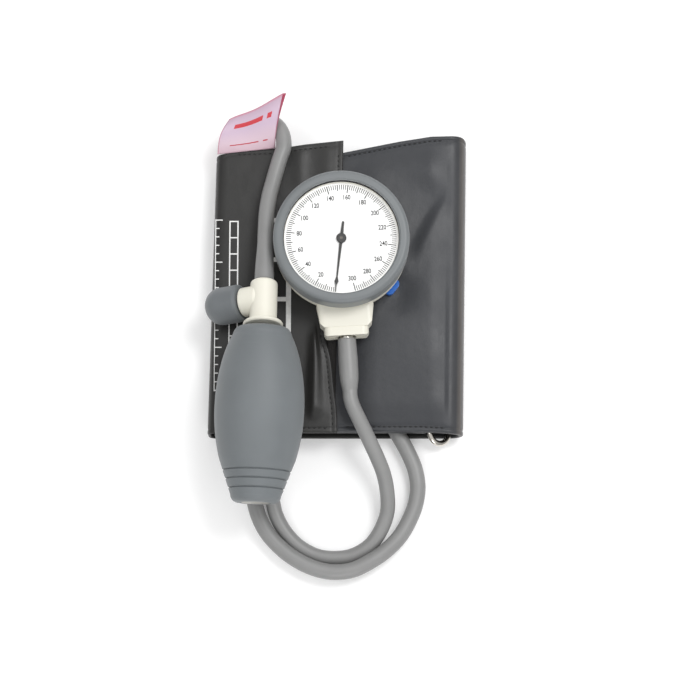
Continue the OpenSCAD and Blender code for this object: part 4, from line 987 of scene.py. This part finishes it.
def scale_number(value, points, faces):
    """The number's outline from the built-in face, 2 mm tall and narrow, set upright."""
    curve = bpy.data.curves.new("number", "FONT")
    curve.body = str(value)
    curve.align_x = "CENTER"
    curve.align_y = "CENTER"
    curve.size = 3.2
    curve.offset = 0.075
    curve.extrude = 0.012
    curve.resolution_u = 4
    holder = bpy.data.objects.new("number", curve)
    scene.collection.objects.link(holder)
    bpy.context.view_layer.update()
    shape = holder.evaluated_get(bpy.context.evaluated_depsgraph_get())
    mesh = shape.to_mesh()
    centre = scale_direction(value) * number_radius
    start = len(points)
    for v in mesh.vertices:
        points.append(on_gauge(centre.x + v.co.x * 0.8, centre.y + v.co.y,
                               dial_top + 0.018 + v.co.z))
    for polygon in mesh.polygons:
        faces.append(tuple(start + k for k in polygon.vertices))
    shape.to_mesh_clear()
    bpy.data.objects.remove(holder)
    bpy.data.curves.remove(curve)


points, faces = [], []
for pressure in range(0, 301, 2):
    scale_tick(pressure, points, faces)
for value in range(20, 301, 20):
    scale_number(value, points, faces)
ink = moulded_plastic("dial_ink", (0.008, 0.008, 0.009), 0.6, 0.1, 0.02)
build("dial_scale", points, faces, ink, smooth=False)

# Movement behind the dial: brass plates, sector and block, steel arbors and shaft, a blued
# hairspring and a corrugated copper-alloy capsule. The valves' ring, bush and needle are
# turned from the same brass and steel.


def machined_metal(name, colour, roughness, lay):
    """Metal with the fine lines of its machining, stretched along X."""
    material, nodes, links, skin = new_material(name)
    place, cloud = cloudy_colour(nodes, links, skin, colour, 0.08, 220)
    uneven_gloss(nodes, links, skin, cloud, roughness, roughness + 0.12)
    stretch = nodes.new("ShaderNodeMapping")
    stretch.inputs["Scale"].default_value = (lay, 9000, 9000)
    links.new(place, stretch.inputs["Vector"])
    lines = clouds(nodes, links, stretch.outputs["Vector"], 1, 2)
    raised(nodes, links, skin.inputs["Normal"], lines, 0.08, 0.00005)
    skin.inputs["Metallic"].default_value = 1
    return material


brass = machined_metal("brass", (0.62, 0.44, 0.19), 0.25, 200)
dress(brass, "inlet_block", "lower_plate", "upper_plate", "plate_pillars", "capsule_stem",
      "sector_gear", "hairspring_stud", "intake_ring", "release_bush")
steel = machined_metal("steel", (0.56, 0.56, 0.57), 0.24, 200)
dress(steel, "plate_screws", "rocking_shaft", "sector_arbor", "release_needle")
arbor_steel = machined_metal("arbor_steel", (0.13, 0.12, 0.11), 0.35, 200)
dress(arbor_steel, "pinion")
blued = machined_metal("spring_steel", (0.12, 0.17, 0.33), 0.3, 2000)
dress(blued, "hairspring")
copper_alloy = machined_metal("capsule_metal", (0.66, 0.50, 0.30), 0.3, 2000)
dress(copper_alloy, "capsule")

# Pointer: stamped from thin sheet and blacked, with a riveted boss that is pressed on the
# pinion's arbor.
black = moulded_plastic("pointer_black", (0.022, 0.022, 0.022), 0.4, 0.15, 0.05)
dress(black, "pointer")

# Clip under the case: glossy blue plastic, moulded in one piece and riveted to the case's
# back.
blue = moulded_plastic("blue_plastic", (0.02, 0.13, 0.50), 0.22, 0.06, 0.03)
dress(blue, "back_clip")

# Bulb and knob: hollow bulb of moulded rubber with a dull skin, pushed over the valve. The
# knob is moulded in the same rubber, a shade darker.
bulb_rubber = rubber("bulb_rubber", (0.138, 0.152, 0.160), 0.55, 0.16, bloom=0.12)
dress(bulb_rubber, "bulb")
knob_rubber = rubber("knob_rubber", (0.130, 0.142, 0.150), 0.48, 0.1, bloom=0.12)
dress(knob_rubber, "release_knob")

# Studio: a pale table that stays white to the camera, a large soft lamp up on the right,
# weaker ones from behind, the left and the front, and a room that is bright above and
# darker at eye level.
floor_half, floor_z = 3, -0.0001
data = bpy.data.meshes.new("floor")
corners = [(x * floor_half, y * floor_half, floor_z)
           for x, y in ((-1, -1), (1, -1), (1, 1), (-1, 1))]
data.from_pydata(corners, [], [(0, 1, 2, 3)])
floor = bpy.data.objects.new("floor", data)
scene.collection.objects.link(floor)
table_top, nodes, links, skin = new_material("table_top")
skin.inputs["Base Color"].default_value = (0.80, 0.80, 0.80, 1)
skin.inputs["Roughness"].default_value = 0.9
skin.inputs["Specular IOR Level"].default_value = 0.1
rays = nodes.new("ShaderNodeLightPath")
seen = combined(nodes, links, "MAXIMUM", rays.outputs["Is Camera Ray"],
                rays.outputs["Is Glossy Ray"])
through = combined(nodes, links, "MAXIMUM", seen, rays.outputs["Is Transmission Ray"])
glow = nodes.new("ShaderNodeEmission")
feed(links, glow.inputs["Strength"], combined(nodes, links, "MULTIPLY", through, 0.22))
add = nodes.new("ShaderNodeAddShader")
links.new(skin.outputs["BSDF"], add.inputs[0])
links.new(glow.outputs["Emission"], add.inputs[1])
links.new(add.outputs["Shader"], nodes["Material Output"].inputs["Surface"])
floor.data.materials.append(table_top)

world = bpy.data.worlds.new("room")
scene.world = world
world.use_nodes = True
nodes, links = world.node_tree.nodes, world.node_tree.links
room = nodes["Background"]
camera_ray = nodes.new("ShaderNodeLightPath").outputs["Is Camera Ray"]
height = nodes.new("ShaderNodeSeparateXYZ")
links.new(nodes.new("ShaderNodeTexCoord").outputs["Generated"], height.inputs["Vector"])
walls = colours_along(nodes, links, height.outputs["Z"],
                      greys((0.0, 0.85), (0.08, 0.35), (0.3, 0.5), (0.6, 1.0)))
feed(links, room.inputs["Color"], laid_over(nodes, links, walls, (1, 1, 1, 1), camera_ray))
brightness = nodes.new("ShaderNodeMapRange")
brightness.inputs["To Min"].default_value = 0.78
brightness.inputs["To Max"].default_value = 1.0
links.new(camera_ray, brightness.inputs["Value"])
links.new(brightness.outputs["Result"], room.inputs["Strength"])


def soft_lamp(name, place, aim, size, watts):
    lamp = bpy.data.lights.new(name, "AREA")
    lamp.shape = "DISK"
    lamp.size = size
    lamp.energy = watts
    holder = bpy.data.objects.new(name, lamp)
    holder.location = place
    beam = Vector(aim) - Vector(place)
    holder.rotation_euler = beam.to_track_quat("-Z", "Y").to_euler()
    scene.collection.objects.link(holder)


soft_lamp("key_lamp", (0.36, 0.24, 1.00), (0, -0.02, 0), 0.42, 4.9)
soft_lamp("back_lamp", (0.10, 0.85, 0.62), (0, -0.02, 0), 0.4, 1.3)
soft_lamp("left_lamp", (-0.5, -0.1, 0.9), (0, -0.02, 0), 0.4, 1.1)
soft_lamp("front_lamp", (0.1, -0.95, 0.5), (0, -0.05, 0), 0.6, 3.2)
